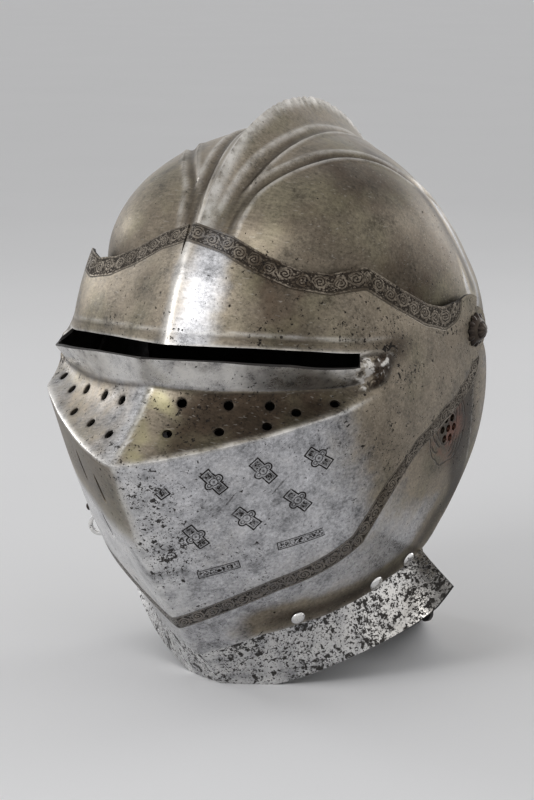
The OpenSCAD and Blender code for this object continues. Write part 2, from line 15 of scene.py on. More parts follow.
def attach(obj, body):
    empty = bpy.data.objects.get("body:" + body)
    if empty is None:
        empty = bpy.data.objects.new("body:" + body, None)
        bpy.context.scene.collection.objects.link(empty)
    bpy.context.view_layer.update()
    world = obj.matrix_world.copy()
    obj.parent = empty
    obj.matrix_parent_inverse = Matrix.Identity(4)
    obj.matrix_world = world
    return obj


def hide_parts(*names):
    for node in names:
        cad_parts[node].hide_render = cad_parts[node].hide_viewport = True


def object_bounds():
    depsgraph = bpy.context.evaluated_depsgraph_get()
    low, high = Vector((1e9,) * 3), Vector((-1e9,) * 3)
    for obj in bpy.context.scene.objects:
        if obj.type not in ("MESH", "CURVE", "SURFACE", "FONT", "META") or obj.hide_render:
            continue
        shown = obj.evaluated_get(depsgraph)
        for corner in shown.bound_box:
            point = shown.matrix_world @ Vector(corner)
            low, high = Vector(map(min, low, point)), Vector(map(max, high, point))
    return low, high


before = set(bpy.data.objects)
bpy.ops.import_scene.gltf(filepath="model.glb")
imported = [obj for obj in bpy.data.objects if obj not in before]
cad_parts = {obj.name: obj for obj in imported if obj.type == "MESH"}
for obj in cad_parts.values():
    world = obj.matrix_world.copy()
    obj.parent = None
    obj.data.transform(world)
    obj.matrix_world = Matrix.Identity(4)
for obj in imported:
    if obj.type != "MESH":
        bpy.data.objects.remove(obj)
CAD_BOX = [list(corner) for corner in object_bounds()]

bl_info = {
    "name": "Close helmet",
    "version": (1, 0, 0),
    "blender": (4, 5, 0),
    "location": "View3D > Sidebar > Helmet",
    "description": "Builds a worn close helmet of etched plate, piece by piece, with its studio",
    "category": "Object",
}

PIVOT = np.array([0.0, 39.0187, 181.0])
SKULL_BODY, BEVOR_BODY, VISOR_BODY, HOOK_BODY = "skull_body", "bevor_body", "visor_body", "hook_body"
PLATE, PLAY = 1.6, 0.8
VISOR_W = 102.0
BEVOR_W = VISOR_W - PLATE - PLAY
SKULL_W = BEVOR_W - PLATE - PLAY
EAR_RADIUS, EYE_RADIUS = 17.0, 2.2
# Places run from 0 in the middle through the start of the side to 2, the pivot's ear, and 3, its eye
SIDE_START = 0.905
GRAIN = 1.6
MM, PER_M = 0.001, 1000.0
DEGREE = np.pi / 180
SEED = 7
# A clenched rivet end, as a share of its shank
CLENCHED = 1.4


# Curves

def smooth(table, x):
    """Value of a table of [x, value] rows at x, along a smooth curve through them."""
    xs = np.array([row[0] for row in table], float)
    ys = np.array([np.atleast_1d(row[1]) for row in table], float)
    x = np.asarray(x, float)
    i = np.clip(np.searchsorted(xs, x, side="right") - 1, 0, len(xs) - 2)
    before, after = np.maximum(i - 1, 0), np.minimum(i + 2, len(xs) - 1)
    h = xs[i + 1] - xs[i]
    t = np.clip((x - xs[i]) / h, 0, 1)[..., None]
    rise_a = (ys[i + 1] - ys[before]) * (h / (xs[i + 1] - xs[before]))[..., None]
    rise_b = (ys[after] - ys[i]) * (h / (xs[after] - xs[i]))[..., None]
    value = (ys[i] * (1 + 2 * t) * (1 - t) ** 2 + rise_a * t * (1 - t) ** 2
             + ys[i + 1] * t * t * (3 - 2 * t) - rise_b * t * t * (1 - t))
    return value[..., 0] if value.shape[-1] == 1 else value


def ramp(x, low, high):
    """0 below low, 1 above high, with soft ends."""
    t = np.clip((np.asarray(x, float) - low) / (high - low), 0, 1)
    return t * t * (3 - 2 * t)


def mix(a, b, t):
    return a + (b - a) * t


def taper(form, u):
    return form[0] * (1 - form[1] * np.power(u, form[2]))


def form_reach(form, u):
    u = np.clip(u, 0, 1)
    return taper(form, u) * np.sqrt(np.maximum(0, 1 - np.power(u, form[3])))


def reach(form, s):
    """Reach of a form [at the middle, how pointed, how much later it bends back, how full] at a place."""
    arm = form_reach(form, SIDE_START)
    closing = EAR_RADIUS + (arm - EAR_RADIUS) * (2 - s) / (2 - SIDE_START)
    eye = EAR_RADIUS + (EYE_RADIUS - EAR_RADIUS) * (s - 2)
    return np.where(s <= SIDE_START, form_reach(form, s), np.where(s <= 2, closing, eye))


def share_across(form, s, r):
    u = np.full(np.broadcast(s, r).shape, 0.95)
    for _ in range(12):
        u = np.power(np.maximum(0, 1 - (r / taper(form, u)) ** 2), 1 / form[3])
    return np.where(s <= SIDE_START, s, u)


def fan(half_w, side, share, r, angle):
    a = np.radians(angle)
    return np.stack([side * half_w * share, -r * np.cos(a), r * np.sin(a)], -1)


def blend_forms(a, b, t):
    return [mix(x, y, t) for x, y in zip(a, b)]


# The rails of the visor and the bevor: form, and angle at each place

BORDER = ((190.7, 0.354, 1.09, 7.2), ((0, -48.6), (0.45, -48.8), (0.78, -51), (0.89, -46.8), (1.15, -46.5),
          (1.5, -56), (1.75, -75), (2, -108), (3, -108)))
PROW = ((192.6, 0.475, 1.31, 24), ((0, -15), (0.6, -14.7), (0.93, -13), (1.5, -22), (2, -50), (3, -50)))
CREASE = ((152.5, 0.464, 1.63, 24), ((0, -5.5), (0.8, -9.2), (0.93, -9), (1.5, -12), (2, -25), (3, -25)))
LIP = ((160.5, 0.25, 0.9, 6.8), ((0, -0.4), (0.35, -0.9), (0.65, -1.9), (0.85, -3.9), (1.5, -5), (2, -8),
       (3, -8)))
SIGHT = ((139, 0.36, 1.13, 12), ((0, 1.3), (0.4, 0.9), (0.65, 0.3), (0.85, -0.7), (1.5, 0), (2, 5), (3, 5)))
TOP = ((124.5, 0.27, 1, 7.3), ((0, 29), (0.19, 27.3), (0.36, 23.8), (0.52, 21.5), (0.66, 21.6),
       (0.75, 24.6), (0.79, 26.8), (0.85, 25.1), (0.905, 23.4), (1.3, 21.8), (1.6, 25), (1.85, 44), (2, 95),
       (3, 95)))
VISOR = {"rails": (BORDER, PROW, CREASE, LIP, SIGHT, TOP), "bows": (0.02, -0.035, 0, 0, 0.027),
         "straights": (1, 1, 1, 1, 1), "half_w": VISOR_W}
NECK = ((194, 0.265, 1, 3.4), ((0, -56), (0.3, -57.4), (0.45, -61), (0.58, -67), (0.7, -75), (0.76, -83),
        (0.8, -87), (0.84, -89.5), (0.883, -98), (1.15, -108), (1.4, -117), (1.7, -130), (2, -150),
        (3, -150)))
UNDER = ((186.5, 0.354, 1.09, 7.2), ((0, -47.5), (0.78, -49), (1.15, -46), (1.5, -55), (2, -100), (3, -100)))
MOUTH = ((183.5, 0.388, 1.09, 8), ((0, -27), (0.6, -27), (0.85, -24), (1.5, -20), (2, 20), (3, 20)))
BEVOR = {"rails": (NECK, UNDER, MOUTH), "bows": (0.004, 0), "straights": (0.6, 1), "half_w": BEVOR_W}
# Cells across the strips of the visor and the bevor at the usual grain
VISOR_CELLS, BEVOR_CELLS = (60, 28, 8, 8, 38), (44, 34)
SIGHT_END = 84.5 / VISOR_W
FRAME_END_ANGLE = -5.8
# How far the lip leans out past the sight's end, and over how much of the plate, as places
SLIT_LEAN, SLIT_REACH = 0.034, 0.06
# The middle of the ear holes, of the hook and of the stud: place, angle
EAR_HOLES, HOOK_SEAT, STUD_SEAT = (1.42, -68.0), (0.77, -48.6), (0.721, -52.0)
# Places of the rivets on one half of the front and the rear lame
FRONT_RIVETS, REAR_RIVETS = (0.45, 0.68, 0.755), (0.0, 0.36, 0.62)


def straight(table, x):
    """Value of a table of (x, value) pairs at x, in straight lines, as in the solids."""
    return np.interp(x, *zip(*table))


def rail_angle(rail, s):
    return straight(rail[1], s)


def strip_point(plate, k, t, s):
    """Share, reach and angle of a point t of the way from rail k to the next one."""
    low, high = plate["rails"][k], plate["rails"][k + 1]
    r1, r2 = reach(low[0], s), reach(high[0], s)
    a1, a2 = rail_angle(low, s), rail_angle(high, s)
    a = mix(a1, a2, t)
    keep = plate["straights"][k] * np.clip((2 - s) / (2 - SIDE_START), 0, 1)
    ra, rb, rc = np.radians(a2 - a1), np.radians(a - a1), np.radians(a2 - a)
    chord = r1 * r2 * np.sin(ra) / (r1 * np.sin(rb) + r2 * np.sin(rc))
    flat = chord * (1 + 4 * plate["bows"][k] * t * (1 - t))
    r = mix(mix(r1, r2, t), flat, keep)
    return share_across(blend_forms(low[0], high[0], t), s, r), r, a


def with_normal(point, side, s, t, ds, dt):
    """Point of a surface at two coordinates, with the outward normal there."""
    normal = np.cross(point(s + ds, t) - point(s - ds, t), point(s, t + dt) - point(s, t - dt)) * side
    return point(s, t), normal / np.linalg.norm(normal, axis=-1, keepdims=True)


def strip_place(plate, side, k, s, angle):
    """Point of a strip at a place and an angle, with the outward normal there."""
    a1, a2 = (rail_angle(rail, s) for rail in plate["rails"][k:k + 2])

    def point(s, t):
        return fan(plate["half_w"], side * np.sign(s + 1e-9), *strip_point(plate, k, t, np.abs(s)))

    return with_normal(point, side, s, (angle - a1) / (a2 - a1), 0.01, 0.05)


def strips_grid(plate, places, counts, ring_cols, slit_end=None):
    """Grid of points of a plate, rows from the right pivot to the left one, with its ring columns last.
    Round the place slit_end, where the sight ends, the lip leans out along the plate."""
    s = np.asarray(places, float)[:, None]
    parts = []
    for k, count in enumerate(counts):
        ends = k == len(counts) - 1
        t = np.linspace(0, 1, count + ends, endpoint=ends)[None, :]
        lean = {2: t, 3: 1 - t}.get(k, 0) * SLIT_LEAN * near(s - slit_end, SLIT_REACH) if slit_end else 0
        parts.append(strip_point(plate, k, t, s + lean))
    first, last = plate["rails"][0], plate["rails"][-1]
    t = (np.arange(1, ring_cols) / ring_cols)[None, :]
    parts.append(ring_part(first[0], last[0], rail_angle(first, s), rail_angle(last, s), t, s))
    share, r, a = (np.concatenate(part, 1) for part in zip(*(np.broadcast_arrays(*p) for p in parts)))
    return both_sides(plate["half_w"], share, r, a)


def ring_part(first, last, first_angle, last_angle, t, s):
    r = mix(reach(last, s), reach(first, s), t)
    return share_across(blend_forms(last, first, t), s, r), r, mix(last_angle, first_angle + 360, t)


def mirrored(right, left):
    """Rows from the right end to the left one, the middle row once."""
    return np.concatenate([right[:0:-1], left])


def both_sides(half_w, share, r, a):
    return mirrored(fan(half_w, -1, share, r, a), fan(half_w, 1, share, r, a))


def plate_places(step, more=()):
    """Places over one half: by millimetres up to the arm's start, then closing in on the bolt."""
    middle = np.linspace(0, SIDE_START, int(round(SIDE_START * VISOR_W / step)) + 1)
    return np.unique([*middle, *np.linspace(SIDE_START, 2, 36), 2.33, 2.66, 3, *more])


def cells_across(counts, step):
    return [max(3, int(n * (GRAIN / step))) for n in counts]


def runs(start, *parts):
    """Even steps from start to each end in turn. The parts are (end, number of steps)."""
    values = [np.array([start])]
    for end, count in parts:
        values.append(np.linspace(start, end, count + 1)[1:])
        start = end
    return np.concatenate(values)


# Meshes

def in_frame(points):
    """Millimetres round the pivot as metres in the shared frame."""
    return (np.asarray(points, float) + PIVOT) * MM


def new_object(name, points, faces=()):
    """Mesh object in the scene."""
    mesh = bpy.data.meshes.new(name)
    mesh.from_pydata(np.asarray(points, float).tolist(), [], faces)
    obj = bpy.data.objects.new(name, mesh)
    bpy.context.scene.collection.objects.link(obj)
    return obj


def grid_normals(grid, starts, ends, span=1):
    """Outward normals of a grid, over span cells each way, one-sided at columns with an open edge."""
    rows, cols = grid.shape[:2]
    i, j = np.arange(rows), np.arange(cols)
    along = grid[np.minimum(i + span, rows - 1)] - grid[np.maximum(i - span, 0)]
    before, after = j - span, j + span
    for edge in starts:
        before[(j >= edge) & (j < edge + span)] = edge
    for edge in ends:
        after[(j <= edge) & (j > edge - span)] = edge
    normal = np.cross(along, grid[:, after % cols] - grid[:, before % cols])
    return normal / np.maximum(np.linalg.norm(normal, axis=-1, keepdims=True), 1e-9)


def shell_mesh(name, outer, inner, gap_col, ring_rows, window=None):
    """Closed shell between two grids. Columns from gap_col on are steel near the two pivots only, and
    window, (first column, last column, rows left out at each end), is open."""
    rows, cols = outer.shape[0] - 1, outer.shape[1]
    i, j = np.meshgrid(np.arange(rows), np.arange(cols), indexing="ij")
    solid = (j < gap_col) | (i < ring_rows) | (i >= rows - ring_rows)
    if window:
        solid &= ~((j >= window[0]) & (j < window[1]) & (i >= window[2]) & (i < rows - window[2]))

    def at(i, j):
        return i * cols + j % cols

    shift = outer.shape[0] * cols
    a, b, c, d = at(i, j), at(i + 1, j), at(i + 1, j + 1), at(i, j + 1)
    faces = [np.stack([a, b, c, d], -1)[solid], np.stack([d, c, b, a], -1)[solid] + shift]
    padded = np.zeros((rows + 2, cols), bool)
    padded[1:-1] = solid
    for gone, quad in ((~np.roll(solid, 1, 1), (b, a, a + shift, b + shift)),
                       (~np.roll(solid, -1, 1), (d, c, c + shift, d + shift)),
                       (~padded[:-2], (a, d, d + shift, a + shift)),
                       (~padded[2:], (c, b, b + shift, c + shift))):
        faces.append(np.stack(quad, -1)[solid & gone])
    quads = np.concatenate(faces)
    low, high = (np.array(corner) / MM - PIVOT for corner in CAD_BOX)
    points = np.clip(np.concatenate([outer.reshape(-1, 3), inner.reshape(-1, 3)]), low, high)
    used, index = np.unique(quads, return_inverse=True)
    obj = new_object(name, in_frame(points[used]), index.reshape(-1, 4).tolist())
    inside = np.arange(len(quads)) >= len(faces[0])
    obj.data.polygons.foreach_set("material_index", inside.astype(np.int32))
    obj.data.validate()
    return obj


def plate_shell(name, outer, last, dents, span, opening=(), bump=None, window=None):
    """Shell of a dented plate whose steel ends at the column last, and at the two columns of an opening."""
    starts, ends = (0, *opening[1:]), (*opening[:1], last)
    normal = grid_normals(outer, starts, ends)
    outer = dented(outer, normal, dents, last)
    if bump:
        outer = outer + normal * bump(outer)[..., None]
    inner = outer - grid_normals(outer, starts, ends, span) * PLATE
    return shell_mesh(name, outer, inner, last, 2, window)


def apply_modifiers(obj):
    """Turns an object's modifiers into plain mesh."""
    bpy.context.view_layer.update()
    done = bpy.data.meshes.new_from_object(obj.evaluated_get(bpy.context.evaluated_depsgraph_get()))
    obj.modifiers.clear()
    old, obj.data = obj.data, done
    done.name = obj.name
    bpy.data.meshes.remove(old)


def cut(obj, cutter):
    """Takes the cutter out of the object."""
    modifier = obj.modifiers.new("holes", "BOOLEAN")
    modifier.operation, modifier.solver, modifier.object = "DIFFERENCE", "MANIFOLD", cutter
    apply_modifiers(obj)
    bpy.data.objects.remove(cutter)


def move_points(obj, to):
    """Moves every vertex to where the function says."""
    for v in obj.data.vertices:
        v.co = to(*v.co)


def local_points(obj):
    """Vertices in millimetres from the middle of the pivot axis."""
    co = np.empty(len(obj.data.vertices) * 3)
    obj.data.vertices.foreach_get("co", co)
    return co.reshape(-1, 3) / MM - PIVOT


def paint(obj, **numbers):
    """Stores numbers at each vertex, for the materials."""
    for name, values in numbers.items():
        attribute = obj.data.attributes.new(name, "FLOAT", "POINT")
        attribute.data.foreach_set("value", np.asarray(values, np.float32))


def paint_shares(obj, **numbers):
    paint(obj, **{name: np.clip(values, 0, 1) for name, values in numbers.items()})


def in_fan(points):
    """Distance from the middle, reach and angle of points."""
    x, y, z = points.T
    return x, np.hypot(y, z), np.degrees(np.arctan2(z, -y))


# The skull and the two neck lames, in the same terms

BROW_ANGLE, NAPE_ANGLE = 15, 238
SKULL_FORM = ((15, (1.085, 0.21, 3.6, 0.3, 6)), (35, (1.066, 0.06, 3.6, 0.6, 9)),
              (65, (1.029, 0.15, 3.6, 0.9, 15)), (95, (0.997, 0.33, 3.6, 1, 16)),
              (130, (0.972, 0.43, 3.6, 0.9, 16)), (165, (0.965, 0.36, 3.6, 0.6, 15)),
              (190, (0.967, 0.3, 3.6, 0.4, 13)), (212, (1.02, 0.27, 3.6, 0.2, 11)),
              (227, (1.18, 0.26, 3.8, 0.05, 10)), (NAPE_ANGLE, (1.45, 0.26, 4, 0, 9)))
BROW_EDGE = ((0, 15), (SIDE_START, 15), (2, 8), (3, 8))
NAPE_EDGE = ((0, NAPE_ANGLE), (0.2, 238.6), (0.31, 241), (0.41, 245), (0.51, 250.5), (0.62, 258), (0.7, 265),
             (0.78, 268), (SIDE_START, 270), (1.5, 273), (2, 276), (3, 276))
NAPE_FROM = 180
SKULL_REACH = 106
COMB_HEIGHT = 10
INNER_FLUTE = ((15, 7), (45, 12), (71, 19), (100, 21), (150, 19), (200, 15), (NAPE_ANGLE, 12))
OUTER_FLUTE = ((15, 9), (40, 16), (48, 24), (55, 32), (64, 41), (72, 50), (85, 62), (110, 70), (150, 66),
               (200, 50), (NAPE_ANGLE, 40))
FLUTES = (INNER_FLUTE, OUTER_FLUTE)
FLUTE_DEPTH, FLUTE_HALF = 1.6, 5
RIDGE_HEIGHT, RIDGE_HALF, RIDGE_SHIFT = 0.75, 3.2, 4.6
FRONT_EDGE = ((0, (0, -86, -181.6)), (0.2, (21, -77, -181.6)), (0.36, (38, -68, -177)),
              (0.52, (57, -57, -168)), (0.67, (76, -42, -157)), (0.73, (88, -31, -148)),
              (0.755, (95, -27, -141)), (0.78, (102, -24, -130)))
REAR_EDGE = ((0, (0, 108, -181.6)), (0.15, (16, 102, -181.6)), (0.3, (32, 82, -180)), (0.41, (44, 64, -176)),
             (0.51, (55, 46, -170)), (0.62, (67, 25, -161)), (0.7, (77, 5, -150)))
LAME_LAP = 11
SINK = PLATE + 0.8
RIVET_INSET = 5.5


def flute(q, x, line, half_w):
    """1 in the middle of a flute that follows a line of (angle, distance), fading to both sides."""
    away = np.minimum(np.abs(x - smooth(line, q)) / half_w, 1)
    return np.cos(np.radians(90 * away)) ** 2


def ridges(line):
    """The lines of the two ridges beside a flute."""
    return [tuple((q, x + shift) for q, x in line) for shift in (-RIDGE_SHIFT, RIDGE_SHIFT)]


def emboss(q, x):
    """Height over the plain bowl: the comb, and the flutes with a ridge on each side."""
    form = smooth(SKULL_FORM, q)
    fade = np.clip((q - 24) / 20, 0, 1) * np.clip((225 - q) / 30, 0, 1)
    height = COMB_HEIGHT * form[..., 3] * np.maximum(0, 1 - x / form[..., 4]) ** 1.4
    for line in FLUTES:
        height = height - FLUTE_DEPTH * fade * flute(q, x, line, FLUTE_HALF)
        for ridge in ridges(line):
            height = height + RIDGE_HEIGHT * fade * flute(q, x, ridge, RIDGE_HALF)
    return height


def roping(q, x):
    """Notches that run slantwise over the crest of the comb."""
    form = smooth(SKULL_FORM, q)
    on_crest = ramp(form[..., 3], 0.5, 0.8) * ramp(-np.abs(x), -6.5, -3.5)
    on_crest *= ramp(q, 66, 76) * ramp(-q, -165, -150)
    worn = 0.35 + 0.65 * (0.5 + 0.5 * np.sin(q * 0.31 + 2) * np.sin(q * 0.113))
    turn = q * np.pi / 180 * 112 / 6.6 + x * 0.13 + 0.18 * np.sin(q * 0.5)
    return -1.0 * worn * on_crest * (0.5 - 0.5 * np.cos(turn * 2 * np.pi)) ** 3


def bowl(row):
    return row[..., 0] * SKULL_REACH, row[..., 1], np.ones_like(row[..., 1]), row[..., 2]


def skull_angle(s, q):
    brow, nape = straight(BROW_EDGE, s), straight(NAPE_EDGE, s)
    return np.where(q <= NAPE_FROM, mix(brow, NAPE_FROM, (q - BROW_ANGLE) / (NAPE_FROM - BROW_ANGLE)),
                    mix(NAPE_FROM, nape, (q - NAPE_FROM) / (NAPE_ANGLE - NAPE_FROM)))


def skull_point(s, q, signed=None):
    """Share, reach and angle of a point of the skull. signed is the side, for the comb's roping."""
    s, q = np.broadcast_arrays(np.asarray(s, float), np.asarray(q, float))
    form = bowl(smooth(SKULL_FORM, q))
    r = reach(form, s)
    x = s * SKULL_W
    height = emboss(q, x)
    if signed is not None:
        height = height + roping(q, x * signed)
    return share_across(form, s, r), r + np.where(s <= SIDE_START, height, 0), skull_angle(s, q)


def skull_place(side, s, q):
    """Point of the skull with the outward normal there."""
    def point(s, q):
        return fan(SKULL_W, side * np.sign(s + 1e-9), *skull_point(np.abs(s), q))

    return with_normal(point, side, s, q, 0.01, 0.5)


def above_nape(s, length):
    """Angle at the middle of a place that lies a length up from the nape's edge."""
    r = reach(bowl(smooth(SKULL_FORM, NAPE_ANGLE)), s)
    span = straight(NAPE_EDGE, s) - NAPE_FROM
    return NAPE_ANGLE - (NAPE_ANGLE - NAPE_FROM) * length / (r * DEGREE) / span


def lame_section(edge, edge_n, up, up_n, out, flare_cols=20, lap_cols=6):
    """Cross section of a lame from its outer edge up under the plate that it is riveted to."""
    t = np.linspace(1, 0, flare_cols + 1)[:-1][:, None]
    flare = mix(edge - edge_n * SINK, out, t) - edge_n * 3 * t * (1 - t)
    t = np.linspace(0, 1, lap_cols)[:, None]
    return np.concatenate([flare, mix(edge, up, t) - mix(edge_n, up_n, t) * SINK])


def front_section(side, s):
    low, high = rail_angle(NECK, s), rail_angle(UNDER, s)
    up = low + min(high - low, LAME_LAP / edge_reach(s))
    out = smooth(FRONT_EDGE, s) * np.array([side, 1, 1])
    return lame_section(*strip_place(BEVOR, side, 0, s, low), *strip_place(BEVOR, side, 0, s, up), out)


def rear_section(side, s):
    out = smooth(REAR_EDGE, s) * np.array([side, 1, 1])
    edge, upper = skull_place(side, s, above_nape(s, 0.2)), skull_place(side, s, above_nape(s, LAME_LAP))
    return lame_section(*edge, *upper, out)[::-1]


def edge_reach(s):
    """Length of a degree along the bevor's lower edge."""
    return reach(NECK[0], s) * DEGREE


def waves(points, length, seed):
    """Soft unevenness of hammered plate: a sum of long waves, about -1 to 1."""
    rng = np.random.default_rng(seed)
    total = np.zeros(points.shape[:-1])
    for _ in range(7):
        way = rng.normal(size=3)
        way *= 2 * np.pi / length * rng.uniform(0.6, 1.5) / np.linalg.norm(way)
        total += np.sin(points @ way + rng.uniform(0, 6.28))
    return total / 3.2


def soften(grid, columns, passes):
    """Rounds the creases between the strips and the keel, and leaves the open edges alone."""
    for _ in range(passes):
        inner = grid[:, :columns + 1]
        inner[:, 1:-1] = 0.5 * inner[:, 1:-1] + 0.25 * (inner[:, :-2] + inner[:, 2:])
        middle = grid.shape[0] // 2
        rows = slice(middle - 6, middle + 7)
        grid[rows] = 0.5 * grid[rows] + 0.25 * (grid[middle - 7:middle + 6] + grid[middle - 5:middle + 8])
    return grid


def fair_flank(grid, rows, low, high, columns):
    """Lets the prow, the crease and the lip run out into one smooth flank between two columns, over the
    rows beside the sight. rows has each row's place."""
    weight = (ramp(rows, 0.85, 0.925) * ramp(-rows, -1.85, -1.3))[:, None, None]
    part = grid[:, low:high + 1]
    steps = np.linalg.norm(np.diff(part, axis=1), axis=2)
    t = np.concatenate([np.zeros((len(grid), 1)), np.cumsum(steps, 1)], 1)
    t = (t / t[:, -1:])[..., None]
    mean = ((part[:, 1:] + part[:, :-1]) / 2 * np.diff(t, axis=1)).sum(1, keepdims=True)
    first, last = part[:, :1], part[:, -1:]
    bent = first * (1 - t) ** 2 + (3 * mean - first - last) * 2 * t * (1 - t) + last * t ** 2
    grid[:, low:high + 1] = mix(part, bent, weight)
    for _ in range(45):
        inner = grid[:, :columns + 1]
        inner[:, 1:-1] += weight * 0.5 * ((inner[:, :-2] + inner[:, 2:]) / 2 - inner[:, 1:-1])
    return grid


def ease_arms(grid, rows, passes=14):
    """Smooths the bend where the sides of a plate begin. The plates over each other bend alike."""
    weight = (ramp(rows, 0.83, 0.89) * ramp(-rows, -1.9, -1.6))[1:-1, None, None] * 0.5
    for _ in range(passes):
        grid[1:-1] += weight * ((grid[:-2] + grid[2:]) / 2 - grid[1:-1])
    return grid


def dented(grid, normal, depth, columns):
    """The grid with low dents, none at its open edges or at the pivots."""
    cols = np.arange(grid.shape[1])
    keep = ramp(np.minimum(cols, columns - cols), 0, 4)[None, :]
    away = ramp(SKULL_W - np.abs(grid[..., 0]), 4, 16)
    push = (waves(grid, 34, 3) * 0.6 + waves(grid, 13, 5) * 0.3) * depth * keep * away
    return grid + normal * push[..., None]


# Repeated shapes

def lathe(name, profile, turns=32, lobes=0, depth=0.0):
    """Closed mesh turned round +Z from (radius, height) pairs that start and end on the axis."""
    around = np.arange(turns) * 2 * np.pi / turns
    scallop = 1 - depth * np.abs(np.sin(around * lobes / 2 + np.pi / 2)) ** 6 if lobes else np.ones(turns)
    points, faces = [[0, 0, profile[0][1]]], []
    for r, z in profile[1:-1]:
        points += [[r * k * np.cos(a), r * k * np.sin(a), z] for a, k in zip(around, scallop)]
    points.append([0, 0, profile[-1][1]])
    rings, end = len(profile) - 2, len(points) - 1
    for i in range(turns):
        j = (i + 1) % turns
        faces.append([0, 1 + i, 1 + j])
        faces += [[1 + k * turns + i, 1 + (k + 1) * turns + i, 1 + (k + 1) * turns + j, 1 + k * turns + j]
                  for k in range(rings - 1)]
        faces.append([1 + (rings - 1) * turns + i, end, 1 + (rings - 1) * turns + j])
    obj = new_object(name, points, faces)
    outward(obj.data)
    return obj


def dome(radius, base, rise, count):
    """Profile of a domed head from the axis out to its rim."""
    return [(radius * np.cos(a), base + rise * np.sin(a)) for a in np.radians(np.linspace(90, 0, count))]


def rivet_profile(head, shank, top, foot, clench):
    """Profile of a rivet: a dome, a shank down to foot, and a head of height clench inside."""
    return head + [(shank, top), (shank, foot), (CLENCHED * shank, foot), (CLENCHED * shank, foot - clench),
                   (0, foot - clench)]


def prism(name, outline, depths):
    """Closed mesh of an outline of (x, z) pairs between two depths along Y."""
    n = len(outline)
    faces = [list(range(n)), list(range(2 * n - 1, n - 1, -1))]
    faces += [[i, i + n, (i + 1) % n + n, (i + 1) % n] for i in range(n)]
    obj = new_object(name, [(x, y, z) for y in depths for x, z in outline], faces)
    outward(obj.data)
    return obj


def outward(mesh):
    """Turns the faces of a closed mesh outwards."""
    work = bmesh.new()
    work.from_mesh(mesh)
    bmesh.ops.remove_doubles(work, verts=work.verts, dist=1e-7)
    bmesh.ops.recalc_face_normals(work, faces=work.faces)
    work.to_mesh(mesh)
    work.free()


def add_node(tree, kind, values=None, **settings):
    """A node with its settings. Its inputs take numbers, colours or other nodes' sockets."""
    made = tree.nodes.new(kind)
    for key, value in settings.items():
        setattr(made, key, value)
    for key, value in (values or {}).items():
        value = value.socket if isinstance(value, Flow) else value
        if isinstance(value, bpy.types.NodeSocket):
            tree.links.new(value, made.inputs[key])
        else:
            made.inputs[key].default_value = value
    return made


def repeat_tree():
    """Geometry nodes that set a shape on every point, turned to the point's own facing and heading."""
    tree = bpy.data.node_groups.new("Repeat on places", "GeometryNodeTree")
    for name, kind, value in (("Places", "Geometry", None), ("Shape", "Object", None), ("Size", "Float", MM),
                              ("Spread", "Float", 0.0), ("Seed", "Int", SEED), ("Finish", "Material", None)):
        socket = tree.interface.new_socket(name, in_out="INPUT", socket_type="NodeSocket" + kind)
        if value is not None:
            socket.default_value = value
    tree.interface.new_socket("Pieces", in_out="OUTPUT", socket_type="NodeSocketGeometry")

    def node(kind, values, out=0, **settings):
        return add_node(tree, kind, values, **settings).outputs[out]

    start = tree.nodes.new("NodeGroupInput").outputs
    shape = node("GeometryNodeObjectInfo", {"Object": start["Shape"]}, "Geometry")
    facing, heading = (node("GeometryNodeInputNamedAttribute", {"Name": name}, "Attribute",
                            data_type="FLOAT_VECTOR") for name in ("facing", "heading"))
    turn = node("FunctionNodeAxesToRotation", {0: facing, 1: heading}, primary_axis="Z", secondary_axis="X")
    low, high = (node("ShaderNodeMath", {0: 1.0, 1: start["Spread"]}, operation=operation)
                 for operation in ("SUBTRACT", "ADD"))
    share = node("FunctionNodeRandomValue", {2: low, 3: high, "Seed": start["Seed"]}, 1, data_type="FLOAT")
    size = node("ShaderNodeMath", {0: share, 1: start["Size"]}, operation="MULTIPLY")
    placed = node("GeometryNodeInstanceOnPoints", {"Points": start["Places"], "Instance": shape,
                                                   "Rotation": turn, "Scale": size})
    real = node("GeometryNodeRealizeInstances", {"Geometry": placed})
    done = node("GeometryNodeSetMaterial", {"Geometry": real, "Material": start["Finish"]})
    add_node(tree, "NodeGroupOutput", {"Pieces": done})
    return tree


def repeat(name, shape, places, material=None, spread=0.0):
    """One plain mesh with the shape at every place: (point in millimetres round the pivot, facing, heading)."""
    points, facing, heading = (np.array(part, np.float64) for part in zip(*places))
    obj = new_object(name, in_frame(points))
    for key, ways in (("facing", facing), ("heading", heading)):
        attribute = obj.data.attributes.new(key, "FLOAT_VECTOR", "POINT")
        attribute.data.foreach_set("vector", ways.astype(np.float32).ravel())
    modifier = obj.modifiers.new("repeat", "NODES")
    modifier.node_group = bpy.data.node_groups.get("Repeat on places") or repeat_tree()
    given = {"Shape": shape, "Size": MM, "Spread": spread, "Seed": SEED, "Finish": material}
    for item in modifier.node_group.interface.items_tree:
        if item.in_out == "INPUT" and given.get(item.name) is not None:
            modifier[item.identifier] = given[item.name]
    apply_modifiers(obj)
    for key in ("facing", "heading"):
        if key in obj.data.attributes:
            obj.data.attributes.remove(obj.data.attributes[key])
    bpy.data.objects.remove(shape)
    return obj


